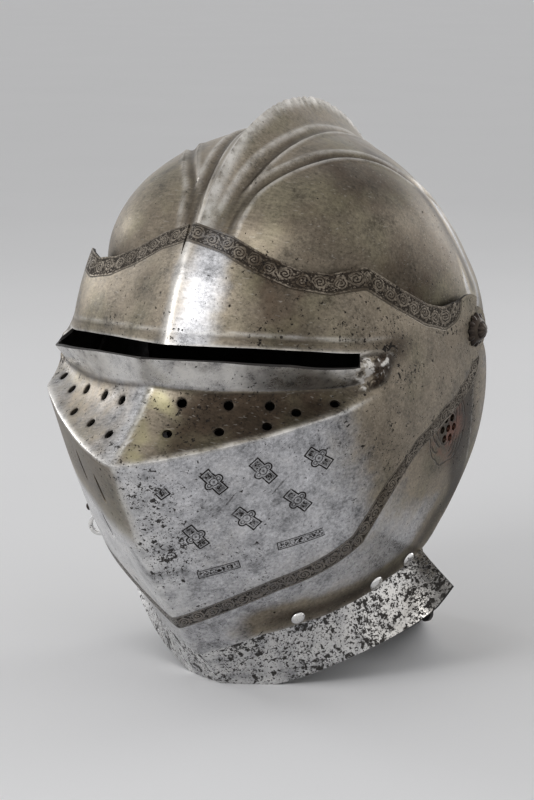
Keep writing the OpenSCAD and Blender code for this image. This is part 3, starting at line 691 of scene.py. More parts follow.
def drill(name, places, radius, flare=0.35, length=0.0):
    """Cutters for holes: straight through, with a worn edge outside. A length stretches them into slots."""
    lip = PLATE * 0.35
    profile = [(0, -7), (radius, -7), (radius, -lip), (radius * (1 + 0.1 * flare), -0.2 * lip),
               (radius * (1 + flare), 0.35), (radius * (1 + 1.6 * flare), 4), (0, 4)]
    shape = lathe(name + "_shape", profile, 28)
    if length:
        def stretched(x, y, z):
            pointed = 0.75 + 0.25 * np.clip(1 - abs(y) / radius, 0, 1) ** 0.7
            return x + (np.sign(x) * (length / 2 - radius) * pointed if abs(x) > 1e-5 else 0), y, z

        move_points(shape, stretched)
    return repeat(name, shape, places)


def heading_on(normal, way=(1, 0, 0)):
    """A direction in the surface, close to the given way."""
    along = way - normal * (way @ normal)
    return along / np.linalg.norm(along)


# Materials

def operator(operation, flipped=False):
    """Method that adds a Math node for an operator of Flow."""
    def apply(self, other):
        return self.graph.math(operation, *((other, self) if flipped else (self, other)))
    return apply


class Flow:
    """A value on its way through a node tree. Arithmetic on it adds Math nodes."""

    def __init__(self, graph, socket):
        self.graph, self.socket = graph, socket

    __add__ = __radd__ = operator("ADD")
    __mul__ = __rmul__ = operator("MULTIPLY")
    __sub__, __rsub__ = operator("SUBTRACT"), operator("SUBTRACT", flipped=True)
    __truediv__, __rtruediv__ = operator("DIVIDE"), operator("DIVIDE", flipped=True)
    max, min = operator("MAXIMUM"), operator("MINIMUM")

    def math(self, operation, *others):
        return self.graph.math(operation, self, *others)

    def abs(self):
        return self.math("ABSOLUTE")

    def step(self, low, high):
        """0 below low and 1 above high, with soft ends. With low above high it falls."""
        return self.graph.node("ShaderNodeMapRange", {0: self, 1: low, 2: high, 3: 0.0, 4: 1.0},
                               interpolation_type="SMOOTHSTEP")

    def inside(self, half, edge=0.12):
        """1 where the value lies within half of 0."""
        return self.abs().step(half + edge, half - edge)


class Graph:
    """A material's node tree, with one method that adds any node."""

    def __init__(self, name):
        self.material = bpy.data.materials.new(name)
        self.material.use_nodes = True
        self.tree = self.material.node_tree
        self.tree.nodes.clear()
        self.place = self.node("ShaderNodeTexCoord", out="Object")

    def node(self, kind, values=None, out=0, **settings):
        return Flow(self, add_node(self.tree, kind, values, **settings).outputs[out])

    def math(self, operation, *values):
        return self.node("ShaderNodeMath", dict(enumerate(values)), operation=operation)

    def painted(self, name):
        return self.node("ShaderNodeAttribute", out="Fac", attribute_name=name)

    def noise(self, size_mm, detail=3.0, roughness=0.55, place=None, turn=0.0):
        """Noise with grains of a size in millimetres, about 0 to 1."""
        values = {"Vector": place or self.place, "W": turn, "Scale": PER_M / size_mm, "Detail": detail,
                  "Roughness": roughness}
        return self.node("ShaderNodeTexNoise", values, noise_dimensions="4D")

    def cells(self, size_mm, feature="F1"):
        return self.node("ShaderNodeTexVoronoi", {"Vector": self.place, "Scale": PER_M / size_mm}, "Distance",
                         feature=feature)

    def colour(self, low, high, share, kind="MIX"):
        """A colour from low to high by a share, or another blend of the two."""
        low, high = (c if isinstance(c, Flow) else (*c, 1) for c in (low, high))
        return self.node("ShaderNodeMix", {0: share, 6: low, 7: high}, 2, data_type="RGBA", blend_type=kind,
                         clamp_factor=True)

    def layers(self, base, *layers):
        """A base under layers of (colour, share)."""
        for colour, share in layers:
            base = self.colour(base, colour, share)
        return base

    def stretched(self, scale):
        return self.node("ShaderNodeMapping", {"Vector": self.place, "Scale": scale})

    def finish(self, colour, rough, metal, height=None, depth_mm=0.3):
        """The surface: Principled, with a bump of depth_mm."""
        values = {"Base Color": colour, "Roughness": rough, "Metallic": metal}
        if height is not None:
            values["Normal"] = self.node("ShaderNodeBump", {"Strength": 1.0, "Distance": depth_mm * MM,
                                                            "Height": height})
        shader = self.node("ShaderNodeBsdfPrincipled", values)
        add_node(self.tree, "ShaderNodeOutputMaterial", {"Surface": shader})
        return self.material


def foliage(g, along, across, half_w):
    """Etched scrolls in a band: spirals on both sides of a wavy stem, with leaves. 1 where bright."""
    wobble = (g.noise(3.4, 2.0) - 0.5) * 3.2
    unit = 8.2
    x = along + wobble
    cell = (x / unit).math("FLOOR")
    side = 1 - 2 * (cell / 2).math("FRACT").step(0.2, 0.3)
    px = x - (cell + 0.5) * unit
    py = (across * half_w + wobble * 0.35) * side - 0.45
    r = (px * px + py * py).math("SQRT")
    turn = py.math("ARCTAN2", px) / (2 * np.pi)
    curl = ((r / 1.5 - turn * side).math("FRACT") * 2 - 1).abs().step(0.36, 0.52) * r.step(3.8, 3.4)
    stem = (across * half_w - (x * (np.pi / unit)).math("SINE") * (-0.62 * half_w)).inside(0.34)
    leaf = g.cells(1.9).step(0.42, 0.3) * r.step(2.2, 3.0)
    bud = (g.cells(1.15) - 0.3).step(0.06, -0.06) * 0.7
    worn = 0.35 + 0.65 * g.noise(1.5, 3.0, 0.7, turn=5.0).step(0.36, 0.56)
    return curl.max(stem).max(leaf).max(bud) * worn


def band(g):
    """The etched bands: how far a point is in a band, how bright it is there, and the line beside it."""
    along, half_w = g.painted("band_along"), g.painted("band_half")
    across = g.painted("band_across")
    away = across.abs()
    bright = foliage(g, along, across / 0.76, half_w * 0.76) * away.step(0.76, 0.72)
    knots = (along / 3.1).math("FRACT").step(0.35, 0.45) * (away - 0.86).inside(0.035, 0.02)
    rims = away.step(0.79, 0.82) * away.step(0.99, 0.95)
    return away.step(1.03, 0.98), bright.max(rims - knots * 0.75), (away - 1.05).inside(0.035, 0.03)


def cartouche(g):
    """The small marks punched on the left cheek: a hatched tablet with a lobe on each side, and bars."""
    x, signed_y, on, bar = (g.painted("mark_" + name) for name in ("x", "y", "on", "bar"))
    x, y, is_bar = x.abs(), signed_y.abs(), bar.step(0.2, 0.4)
    hand = (g.noise(2.6, 2.0) - 0.5) * 0.7
    tablet = (x - 7.5).max(y - 2.75)
    lobe = (x * x + (y - 2.9) * (y - 2.9)).math("SQRT") - 2.1
    edge = tablet.min(lobe) + hand
    outline = edge.inside(0.4, 0.16).max((edge + 0.95).inside(0.12, 0.12) * 0.8)
    hatch = ((x + signed_y * 0.7) / 0.8 + hand).math("FRACT").step(0.4, 0.6)
    blot = g.noise(1.5, 2.0, 0.7, turn=3.0).step(0.47, 0.56)
    filled = edge.step(-1.0, -1.35) * x.step(2.7, 3.1) * hatch.max(blot)
    r = (x * x + y * y).math("SQRT")
    roundel = (r - 2.0 + hand).inside(0.2, 0.16).max((lobe + 1.3).inside(0.15, 0.14))
    roundel = roundel.max(r.step(0.9, 0.5) * 0.7)
    cross = outline.max(filled).max(roundel * edge.step(-0.6, -0.9))
    slab = (x - bar * 11.6).max(y - 2.25) + hand * 0.6
    core = slab.step(-0.75, -0.95) * g.noise(1.2, 2.0, 0.7, turn=6.0).step(0.44, 0.54)
    strip = slab.inside(0.27, 0.14).max((slab + 0.75).inside(0.1, 0.1)).max(core)
    worn = 0.6 + 0.4 * g.noise(5.5, 2.0).step(0.3, 0.44)
    return (cross * (1 - is_bar)).max(strip * is_bar) * on.step(0.92, 0.98) * worn


def pits(g, density):
    """Corrosion pits in crowds, ragged and of several sizes: how dark and deep a place is."""
    crowd = (g.noise(24, 3.0, 0.6, turn=2.0) - 0.5) * 1.1
    grains = ((1.7, 0.75, 0.24), (3.6, 0.775, 0.26), (0.95, 0.74, 0.2), (6.5, 0.8, 0.25))
    found = None
    for i, (size, level, gain) in enumerate(grains):
        ragged = g.noise(size, 3.0, 0.62, turn=3.0 + 5 * i)
        local = (density + crowd * (0.8 if i else 1.0)).max(0.0) * gain
        hole = (ragged + local).step(level, level + 0.035)
        found = hole if found is None else found.max(hole)
    return found


# Colours that stay as they are, next to those of the finish that can be chosen. Among them are the dark of
# painted shade, the bright of rubbed steel and of painted highlights, and the painted highlight and painted
# shade on the crumpled folds
OLIVE, BARE_AND_HIGHLIGHT, PAINTED_SHADE = (0.19, 0.175, 0.115), (0.8, 0.79, 0.77), (0.03, 0.024, 0.018)
SCRATCHED, SPECKS = (0.5, 0.48, 0.45), (0.04, 0.03, 0.022)
LEAF, OLD_LEAF, PUNCHED = (0.2, 0.17, 0.135), (0.045, 0.034, 0.024), (0.014, 0.012, 0.011)
BRASSY, REDDISH = (0.36, 0.33, 0.19), (0.2, 0.085, 0.06)
FOLD_HIGHLIGHT, FOLD_SHADE = (0.6, 0.58, 0.55), (0.02, 0.015, 0.012)
SCALE, OLD_BRONZE, RUBBED_BRONZE = (0.012, 0.010, 0.009), (0.018, 0.014, 0.012), (0.22, 0.18, 0.14)
POLISHED = (0.75, 0.74, 0.72)


def steel(g, look, decorated=False, eared=False):
    """Old polished plate: bluish where it is clean, brown where it is stained, pitted black and rubbed
    bright, as the painted numbers say. The same numbers also paint light: painted shade darkens the plate
    and painted highlights brighten it, and the stain numbers hold some painted shade and highlight too.
    Decorated plate has the etched bands, the marks, and a brassy and a crumpled patch, with a painted
    highlight and painted shade on the crumpled folds. Eared plate has an etched ring of leaves round the
    ear holes, and a red stain."""
    stain, pitted, rubbed, shade = (g.painted(n) for n in ("stain", "pitted", "rubbed", "shade"))
    broad, cloud = g.noise(42, 4.0, 0.6), g.noise(11, 4.0, 0.65, turn=1.3)
    fine = g.noise(1.6, 3.0, 0.7)
    brush = g.noise(1.1, 2.0, 0.6, place=g.stretched((0.12, 1.0, 0.9)), turn=4.0)
    patchy = stain + (broad - 0.5) * 0.75 + (cloud - 0.5) * 0.45
    brown = patchy.step(0.0, 0.5)
    olive = g.noise(30, 3.0, 0.5, turn=9.0).step(0.45, 0.7) * brown
    base = g.layers(look.clean, (look.warm, brown), (look.brown, patchy.step(0.45, 1.0)),
                    (OLIVE, olive * 0.45))
    mottle = 0.8 + (cloud - 0.5) * 1.8 + (fine - 0.5) * 1.1 + (brush - 0.5) * 0.8 + (broad - 0.5) * 0.9
    grey = g.node("ShaderNodeCombineColor", {0: mottle, 1: mottle, 2: mottle})
    scratch = g.noise(0.9, 1.0, 0.5, place=g.stretched((0.05, 0.6, 1.0)), turn=8.0).step(0.66, 0.72)
    specks = g.noise(1.0, 2.0, 0.7, turn=7.0).step(0.61, 0.67) * (0.4 + stain * 0.5)
    # Layers: bare steel where rubbed and where a painted highlight lies, the dark of painted shade, scratches
    # and specks
    base = g.layers(g.colour(base, grey, 1.0, "MULTIPLY"),
                    (BARE_AND_HIGHLIGHT, rubbed * (0.5 + (cloud - 0.5) * 1.6).step(0.1, 0.75) * 0.75),
                    (PAINTED_SHADE, shade * 0.85), (SCRATCHED, scratch * 0.16), (SPECKS, specks * 0.6))
    hole = pits(g, pitted)
    rough = 0.27 + brown * 0.15 + (fine - 0.5) * 0.22 + (cloud - 0.5) * 0.15 + hole * 0.35 - rubbed * 0.08
    metal = 0.97 - hole * 0.25 - shade * 0.1
    height = (fine - 0.5) * 0.1 + (brush - 0.5) * 0.06 - hole * 1.1 + (cloud - 0.5) * 0.3
    if decorated:
        in_band, bright, outline = band(g)
        rubbed_off = (g.noise(17, 3.0, turn=6.0) + (cloud - 0.5) * 0.6).step(0.68, 0.85)
        dark = in_band * (1 - bright) * (1 - rubbed_off * 0.6)
        leafy = g.colour(LEAF, OLD_LEAF, (cloud + (fine - 0.5) * 0.7).step(0.35, 0.62))
        mark = cartouche(g)
        # The crumpled patch: a painted highlight on the tops of its folds and painted shade in their hollows
        crumpled, folds = g.painted("crumpled"), g.noise(4.6, 2.0, 0.5, turn=12.0)
        base = g.layers(base, (look.etched, dark * 0.93), (leafy, in_band * bright * 0.85),
                        (look.etched, outline * 0.75), (PUNCHED, mark), (BRASSY, g.painted("brassy") * 0.6),
                        (FOLD_HIGHLIGHT, crumpled * folds.step(0.5, 0.6) * 0.8),
                        (FOLD_SHADE, crumpled * folds.step(0.46, 0.4) * 0.85))
        rough = rough + dark * 0.3 + mark * 0.25
        metal = metal - dark * 0.12 - mark * 0.12
        height = height - dark * 0.9 - outline * 0.6 - mark * 0.8 + crumpled * folds * 6
    if eared:
        away, turn = g.painted("ear_away") + (g.noise(6.0, 2.0, turn=2.5) - 0.5) * 5, g.painted("ear_turn")
        curls = ((away / 3.6 + turn * 1.6).math("FRACT") - 0.5).abs().step(0.22, 0.12)
        leaves = (turn * 3.5).math("SINE").step(-0.3, 0.3) * (away - 13).inside(4.5, 0.6)
        ornament = (curls * leaves).max((away - 18.5).inside(0.5, 0.25) * 0.9)
        ornament = ornament.max((away - 8.6).inside(0.4, 0.2))
        base = g.layers(base, (REDDISH, away.step(24.0, 8.0) * cloud.step(0.42, 0.6) * 0.6),
                        (look.etched, ornament * (0.4 + 0.6 * fine.step(0.35, 0.55)) * 0.85))
        height = height - ornament * 0.7
    return g.finish(g.colour(base, look.pit, hole * 0.94), rough.max(0.16), metal.max(0.0), height, 0.22)


def dark_inside(g, look):
    """The inside of the plates: black and brown hammered scale."""
    cloud, fine = g.noise(14, 4.0, 0.6), g.noise(2.0, 3.0, 0.7)
    base = g.colour(SCALE, look.brown, (cloud + (fine - 0.5) * 0.4).step(0.45, 0.9) * 0.4)
    hammer = g.cells(9.0, "SMOOTH_F1")
    return g.finish(base, 0.62 + (fine - 0.5) * 0.3, 0.35 + cloud * 0.2, hammer * 0.8 + fine * 0.25, 0.8)


def dark_bronze(g, look):
    """Bronze gone brown-black, rubbed lighter on its high places."""
    cloud, fine = g.noise(4.0, 4.0, 0.6), g.noise(0.8, 3.0, 0.7)
    base = g.layers(look.bronze, (OLD_BRONZE, (cloud + (fine - 0.5) * 0.5).step(0.3, 0.7) * 0.8),
                    (RUBBED_BRONZE, g.painted("rubbed") * (cloud + 0.1).step(0.2, 0.7) * 0.2))
    return g.finish(base, 0.22 + cloud * 0.25, 0.9 + (fine - 0.5) * 0.2, cloud * 0.5 + fine * 0.4, 0.15)


def bright_rivet(g, look):
    """Polished rivet heads and the hook, a little stained."""
    cloud, fine = g.noise(3.0, 4.0, 0.6), g.noise(0.7, 3.0, 0.7)
    spots = g.cells(1.4).step(0.3, 0.18) * g.noise(5.0, 2.0, turn=3.0).step(0.5, 0.6)
    base = g.layers(look.clean, (POLISHED, cloud.step(0.25, 0.6)),
                    (look.brown, (1 - cloud).step(0.55, 0.9) * 0.6), (look.pit, spots * 0.9))
    return g.finish(base, 0.2 + cloud * 0.12 + spots * 0.4, 0.98 - spots * 0.6, fine * 0.25 - spots, 0.12)


FINISHES = {
    "Warm fluted steel": steel,
    "Pitted steel": steel,
    "Etched steel": lambda g, look: steel(g, look, decorated=True),
    "Stained steel": lambda g, look: steel(g, look, eared=True),
    "Dark scale inside": dark_inside,
    "Dark bronze": dark_bronze,
    "Polished rivets": bright_rivet,
}


def finish_of(name):
    """A material by name, made the first time it is asked for."""
    return bpy.data.materials.get(name) or FINISHES[name](Graph(name), settings()[1])


# Painted numbers: where the plates are stained, pitted, rubbed, etched or punched, and where painted highlights
# and painted shade lie

# Breaths by strip: side, distance from the middle, angle. The narrow ones are on the right, under the prow.
ROUND_BREATHS = (1, ((1, 17.4, -8.6), (1, 37.6, -9.6), (1, 54.3, -10.6), (1, 66.1, -12.3),
                     (1, 79.9, -12), (1, 16.8, -12.4), (1, 38.6, -13), (1, 57.2, -13.4),
                     (-1, 16.2, -9), (-1, 31.2, -9.5), (-1, 49.5, -10.4), (-1, 63.6, -12),
                     (-1, 77.7, -11.7), (-1, 13.9, -12.9), (-1, 31.5, -13), (-1, 50.2, -13.4)))
NARROW_BREATHS = (0, ((-1, 21, -22), (-1, 39.3, -20.8), (-1, 31.5, -32.3)))
# Marks on the left cheek: distance from the middle, angle, tilt in degrees, and a bar's length as a share
MARKS = ((37.8, -20.9, -64, 0), (56.2, -21.4, -62, 0), (75.6, -22.7, -53, 0), (45.5, -30.2, -60, 0),
         (65, -30.6, -58, 0), (24.3, -30.7, -71, 0), (15.9, -19.4, -66, 0), (27.7, -39, -4, 0.91),
         (61.9, -39.9, -7, 1.05))
# The mark of which only one end is left
FRAGMENT = (15.9, -19.4)


def breaths(kind):
    """Point and outward normal in the middle of each breath of a kind."""
    strip, rows = kind
    return [strip_place(VISOR, side, strip, distance / VISOR_W, angle) for side, distance, angle in rows]


def near(distance, width):
    """1 at distance 0, fading over a width in millimetres."""
    return np.exp(-(distance / width) ** 2)


def spot(points, centre, width, squash=1):
    """1 at a point, fading over a width in millimetres."""
    return near(np.linalg.norm((points - centre) * squash, axis=1), width)


def past_rail(rail, half_w, x, angle):
    """Degrees from a rail up to places with a distance from the middle and an angle."""
    return angle - rail_angle(rail, np.minimum(np.abs(x) / half_w, SIDE_START))


def follow(points, line):
    """For each point, its distance to a line of points and how far along that is from the line's middle."""
    steps = np.linalg.norm(np.diff(line, axis=0), axis=1)
    along = np.concatenate([[0], np.cumsum(steps)])
    fine = np.arange(0, along[-1], 0.4)
    dense = np.stack([np.interp(fine, along, line[:, k]) for k in range(3)], 1)
    tree = KDTree(len(dense))
    for i, p in enumerate(dense):
        tree.insert(p, i)
    tree.balance()
    found = [tree.find(p)[1:] for p in points]
    index, distance = np.array([f[0] for f in found]), np.array([f[1] for f in found])
    return distance, fine[index] - along[-1] / 2


def rail_line(plate, k, high, last=1.9):
    """The rail at the lower or upper side of a strip, as points from the right to the left."""
    s = np.linspace(0, last, 400)
    share, r, a = strip_point(plate, k, 1.0 if high else 0.0, s)
    return both_sides(plate["half_w"], share, r, a)


def paint_bands(obj, points):
    """Two etched bands, along the visor's upper edge and along its lower border."""
    best = np.full(len(points), 9.0)
    along, half = np.zeros(len(points)), np.full(len(points), 5.0)
    for line, width in ((rail_line(VISOR, 4, True, 1.7), 10.8), (rail_line(VISOR, 0, False, 2.0), 8.6)):
        distance, at = follow(points, line)
        closer = distance / width < best
        best, along = np.where(closer, distance / width, best), np.where(closer, at, along)
        half = np.where(closer, width / 2, half)
    by_bolt = np.hypot(points[:, 1], points[:, 2]) < 13
    across = np.where(by_bolt, -3, np.clip(1 - 2 * best, -3, 1))
    paint(obj, band_along=along, band_half=half, band_across=across)


def paint_marks(obj, points):
    """Each mark's own axes on the points round it, and a bar's length."""
    x, y, on, bar = (np.full(len(points), v) for v in (30.0, 30.0, 0.0, 0.0))
    for distance, angle, tilt, kind in MARKS:
        point, normal = strip_place(VISOR, 1, 0, distance / VISOR_W, angle)
        right = heading_on(normal)
        up = np.cross(normal, right)
        c, s = np.cos(np.radians(tilt)), np.sin(np.radians(tilt))
        way = points - point
        at_x, at_y = way @ (right * c + up * s), way @ (up * c - right * s)
        shown = 1.5 if (distance, angle) == FRAGMENT else -14
        here = (at_x > shown) & (at_x < 14) & (np.abs(at_y) < 8.5) & (np.abs(way @ normal) < 3)
        x, y = np.where(here, at_x, x), np.where(here, at_y, y)
        on, bar = np.where(here, 1, on), np.where(here, kind, bar)
    paint(obj, mark_x=x, mark_y=y, mark_on=on, mark_bar=bar)


def paint_visor(obj):
    points = local_points(obj)
    x, r, angle = in_fan(points)
    off_middle = np.abs(x)
    prow, crease, lip, sight, border = (past_rail(rail, VISOR_W, x, angle) * r * DEGREE
                                        for rail in (PROW, CREASE, LIP, SIGHT, BORDER))
    side, beyond, left = ramp(off_middle, 70, 92), ramp(off_middle, 84, 95), ramp(x, -4, 4)
    under, brow, lower = ramp(prow, -0.5, 2) * ramp(-crease, -0.5, 1.5), ramp(sight, 0, 1), ramp(-prow, 0, 2)
    stain = 0.44 * brow * (1.0 + 0.35 * left) + under * (0.34 + 0.66 * left) * (1 - 0.3 * side)
    stain += lower * (0.04 + 0.62 * (1 - left) * ramp(angle, -33, -23) + 0.3 * side)
    stain += 0.27 * (1 - brow) * (1 - lower) * (1 - under) - 0.5 * under * near(x - 8, 12)
    # Less stain right of the brow's ridge: a painted highlight there
    stain += 0.18 * lower * near(border, 12) - 0.55 * brow * near(x - 13, 13) + 0.12 * brow * near(x + 25, 22)
    stain = mix(stain, 0.52, beyond) + 0.2 * brow * near(x - 54, 22)
    # Dark spots: stains, but the one over the brow's middle is a painted dark reflection
    stain += 0.42 * (spot(points, (94, -76, 0), 13, (1, 1, 1.6)) + 0.6 * spot(points, (37, -108, 42), 15)
                     + 0.5 * spot(points, (-20, -118, 28), 11))
    pitted = 0.46 * lower * near(x - 11, 15) * ramp(-angle, 14, 19) * ramp(angle, -42, -32)
    pitted += 0.34 + under * 0.1
    pitted += 0.16 * lower * near(border - 6, 12) * near(x, 48) + 0.12 * brow * ramp(x, 20, 50)
    pitted += 0.14 * near(prow, 7) * near(x, 30) + 0.1 * side
    rubbed = 0.9 * near(prow, 0.9) + 0.8 * near(lip, 1.0) + 0.85 * brow * near(x, 2.2)
    rubbed += lower * (0.9 * near(x, 1.3) + 0.5 * near(x - 6, 9))
    rubbed += 0.8 * ramp(crease, 0.5, 2) * ramp(-lip, -0.5, 1) * (1 - side)
    rubbed += 0.6 * near(sight, 1.0) + 0.4 * near(border, 1.0)
    # Bright lower left of the face: a painted highlight
    rubbed += 0.5 * lower * (1 - left) * ramp(-angle, 25, 34)
    # Along the sight's upper edge, as of a doubled edge: a painted highlight line 6.4 mm up and a painted shade
    # line 4.4 mm up; painted shade along the crease
    rubbed = (rubbed + 0.4 * near(sight - 6.4, 0.9)) * (1 - beyond)
    shade = np.maximum(0.7 * near(crease + 0.6, 0.9), 0.45 * near(sight - 4.4, 0.9)) * (1 - beyond)
    # The worn keel of the under panel: a painted highlight along its right side and painted shade along its
    # left, broken up along its length
    nick = waves(points, 5.0, 21)
    rubbed += under * (near(x - 0.4 - 0.8 * nick, 1.0) - 0.5 * near(x + 1.6 - 0.8 * nick, 0.8))
    shade = np.maximum(shade, 0.8 * under * near(x + 1.5 - 1.0 * nick, 0.8) * ramp(nick, -0.2, 0.5))
    brassy = under * near(x - 9, 8) * ramp(waves(points, 12.0, 4), -0.6, 0.6)
    over, up = (off_middle - 90.2) / 5.2, (angle - FRAME_END_ANGLE) / 4.9
    box = (over ** 4 + up ** 4) ** 0.25
    crumpled = ramp(-box, -1.1, -0.8)
    stain += 0.5 * crumpled * ramp(over, 0, 0.5)
    # Painted shade round the step of the crumpled box at the sight's end
    shade = np.maximum(shade, 0.75 * near(box - 1, 0.12) * ramp(off_middle, 84, 87))
    # Painted shade round the rims of the breaths
    for kind, squash, radius, width, dark in ((ROUND_BREATHS, 1, 2.4, 1.1, 0.75),
                                              (NARROW_BREATHS, (0.4, 0.6, 1), 2, 1.0, 0.5)):
        for point, _ in breaths(kind):
            away = np.linalg.norm((points - point) * squash, axis=1)
            shade = np.maximum(shade, dark * near(np.maximum(away - radius, 0), width))
    paint_shares(obj, stain=stain, pitted=pitted, rubbed=rubbed, shade=shade, crumpled=crumpled,
                 brassy=brassy)
    paint_bands(obj, points)
    paint_marks(obj, points)


def paint_bevor(obj):
    points = local_points(obj)
    x, r, angle = in_fan(points)
    way = (points - strip_place(BEVOR, 1, 0, *EAR_HOLES)[0]) * (0, 1, 1)
    away = np.linalg.norm(way, axis=1)
    paint(obj, ear_away=away, ear_turn=np.abs(np.arctan2(way[:, 2], -way[:, 1])))
    past_neck, by_ear = past_rail(NECK, BEVOR_W, x, angle), near(away, 26)
    over_neck = past_neck * r * DEGREE
    stain = 0.1 + 0.5 * by_ear + 0.3 * ramp(np.abs(x), 76, 97)
    # Painted dark reflection and painted shade in the soft valley where the bevor flares out to the neck
    stain += 0.72 * near(over_neck - 9, 10) * ramp(x, 12, 40)
    pitted = 0.27 + 0.3 * by_ear + 0.16 * near(over_neck, 7) + 0.12 * near(x, 40)
    shade = 0.22 * near(over_neck - 5, 6) * ramp(x, 20, 45)
    paint_shares(obj, stain=stain, pitted=pitted, rubbed=0.5 * near(past_neck, 0.5), shade=shade)


# The line of a shallow crease where the side of the skull turns to the back. The crease is not built: it is
# painted, as a line of shade with a painted highlight behind it
REAR_CREASE = np.array([(48, -12, 89), (61, -4, 78), (69, -1, 70), (80.6, 1, 55), (88, 8, 37), (92, 15, 20)])


def paint_skull(obj):
    points = local_points(obj)
    x, _, angle = in_fan(points)
    off_middle, q = np.abs(x), np.mod(angle, 360)
    form = smooth(SKULL_FORM, np.clip(q, BROW_ANGLE, NAPE_ANGLE))
    comb = ramp(form[:, 3], 0.2, 0.6) * near(np.maximum(off_middle - 1, 0), 2.6)
    fade = np.clip((q - 22) / 12, 0, 1) * np.clip((225 - q) / 30, 0, 1)
    valley = fade * np.max([flute(q, off_middle, line, 4) for line in FLUTES], 0)
    beside = [line for flute_line in FLUTES for line in ridges(flute_line)]
    ridge = fade * np.max([flute(q, off_middle, line, 2.4) for line in beside], 0)
    cloud = spot(points, (62, -50, 78), 24) + 0.6 * spot(points, (80, -22, 68), 17)
    rear_crease, _ = follow(np.where([True, False, False], np.abs(points), points), REAR_CREASE)
    stain = 0.6 + 0.3 * cloud + 0.12 * valley + 0.15 * near(angle - 32, 12) * ramp(x, 10, 40)
    # Painted shade: darker towards the sides of the skull and along the rear crease
    stain += 0.15 * ramp(off_middle, 78, 88) + 0.2 * near(rear_crease, 6)
    # Less stain in a band behind the rear crease: a painted highlight
    stain -= 0.5 * near(rear_crease - 9, 6) * ramp(q, 90, 99)
    pitted = 0.24 + 0.14 * near(q - 15, 14) + 0.1 * ramp(off_middle, 78, 95) + 0.12 * ramp(q, 190, 230)
    # Painted shade: a dark line along the rear crease
    crease_shade = 0.45 * near(rear_crease, 2.4) * ramp(off_middle, 48, 62)
    # The ridges beside the flutes are rubbed bright and carry a painted highlight; painted shade darkens the
    # flute valleys
    paint_shares(obj, stain=stain, pitted=pitted, rubbed=0.75 * comb + 0.5 * ridge * (1 - valley),
                 shade=np.maximum(valley * (0.5 + 0.2 * cloud), crease_shade))


def paint_lame(obj, stain, pitted, rubbed):
    points = local_points(obj)
    flat = np.zeros(len(points))
    paint(obj, stain=stain + 0.3 * ramp(points[:, 0], 45, 85), pitted=pitted + flat,
          rubbed=rubbed + 0.15 * ramp(-points[:, 2], 170, 180), shade=flat)


# Operators, one for each piece or group of like pieces

def number(name, text, default, low, high, unit="NONE"):
    return bpy.props.FloatProperty(name=name, description=text, default=default, min=low, max=high, unit=unit)


def tint(name, text, default):
    return bpy.props.FloatVectorProperty(name=name, description=text, subtype="COLOR", size=3, default=default,
                                         min=0, max=1)


class HelmetPlates(bpy.types.PropertyGroup):
    """How finely the plates are built and how much they are worn out of shape."""
    step: number("Grain of the mesh", "Distance between points of a plate, in mm", GRAIN, 1.2, 6)
    rounding: bpy.props.IntProperty(name="Rounding", description="How often the creases are softened",
                                    default=1, min=0, max=6)
    dents: number("Dents", "Depth of the unevenness of the plates, in mm", 0.16, 0, 0.3)
    rivet_dome: number("Rivet dome", "Height of a rivet's head, in mm", 2.0, 1, 2.4)


class HelmetFinish(bpy.types.PropertyGroup):
    """Colours of the metal, its stains and its etching."""
    clean: tint("Clean steel", "Where the plate is bare and polished", (0.60, 0.60, 0.62))
    warm: tint("Warm steel", "Where the plate is a little stained", (0.27, 0.23, 0.178))
    brown: tint("Stain", "Old brown stain", (0.052, 0.038, 0.027))
    etched: tint("Etched ground", "Ground of the etched bands", (0.02, 0.015, 0.011))
    pit: tint("Pits", "Bottom of the corrosion pits", (0.014, 0.011, 0.009))
    bronze: tint("Bronze", "The pivot bolts and rosettes", (0.03, 0.022, 0.018))


class HelmetStudio(bpy.types.PropertyGroup):
    """Light and floor."""
    key: number("Main light", "Power of the soft light at the front left", 9, 0, 100, "POWER")
    rim: number("Rear light", "Power of the light behind on the right", 4, 0, 100, "POWER")
    floor: tint("Floor", "Colour of the floor", (0.86, 0.86, 0.87))
    fill: number("Surrounding light", "Light from all round", 0.5, 0, 1)


GROUPS = {"helmet_plates": HelmetPlates, "helmet_finish": HelmetFinish, "helmet_studio": HelmetStudio}


def settings():
    return [getattr(bpy.context.scene, name) for name in GROUPS]


def hand_in(obj, body, node, angle=35):
    """Gives a finished piece its shading, and its body and solid in the frame."""
    obj.data.shade_smooth()
    obj.data.set_sharp_from_angle(angle=np.radians(angle))
    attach(obj, body)
    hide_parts(node)


def hand_in_plate(obj, material, body, node):
    """Hands in a plate with a material outside and dark scale inside."""
    materials = [finish_of(material), finish_of("Dark scale inside")]
    while len(obj.data.materials) < len(materials):
        obj.data.materials.append(None)
    for i, made in enumerate(materials):
        obj.data.materials[i] = made
    hand_in(obj, body, node)


def hand_in_fitting(obj, material, body, node):
    """Hands in a small piece of one material."""
    obj.data.materials.clear()
    obj.data.materials.append(finish_of(material))
    hand_in(obj, body, node, 40)


class PieceOperator:
    """What the operators share."""
    bl_options = {"REGISTER", "UNDO"}

    def execute(self, context):
        self.build()
        return {"FINISHED"}


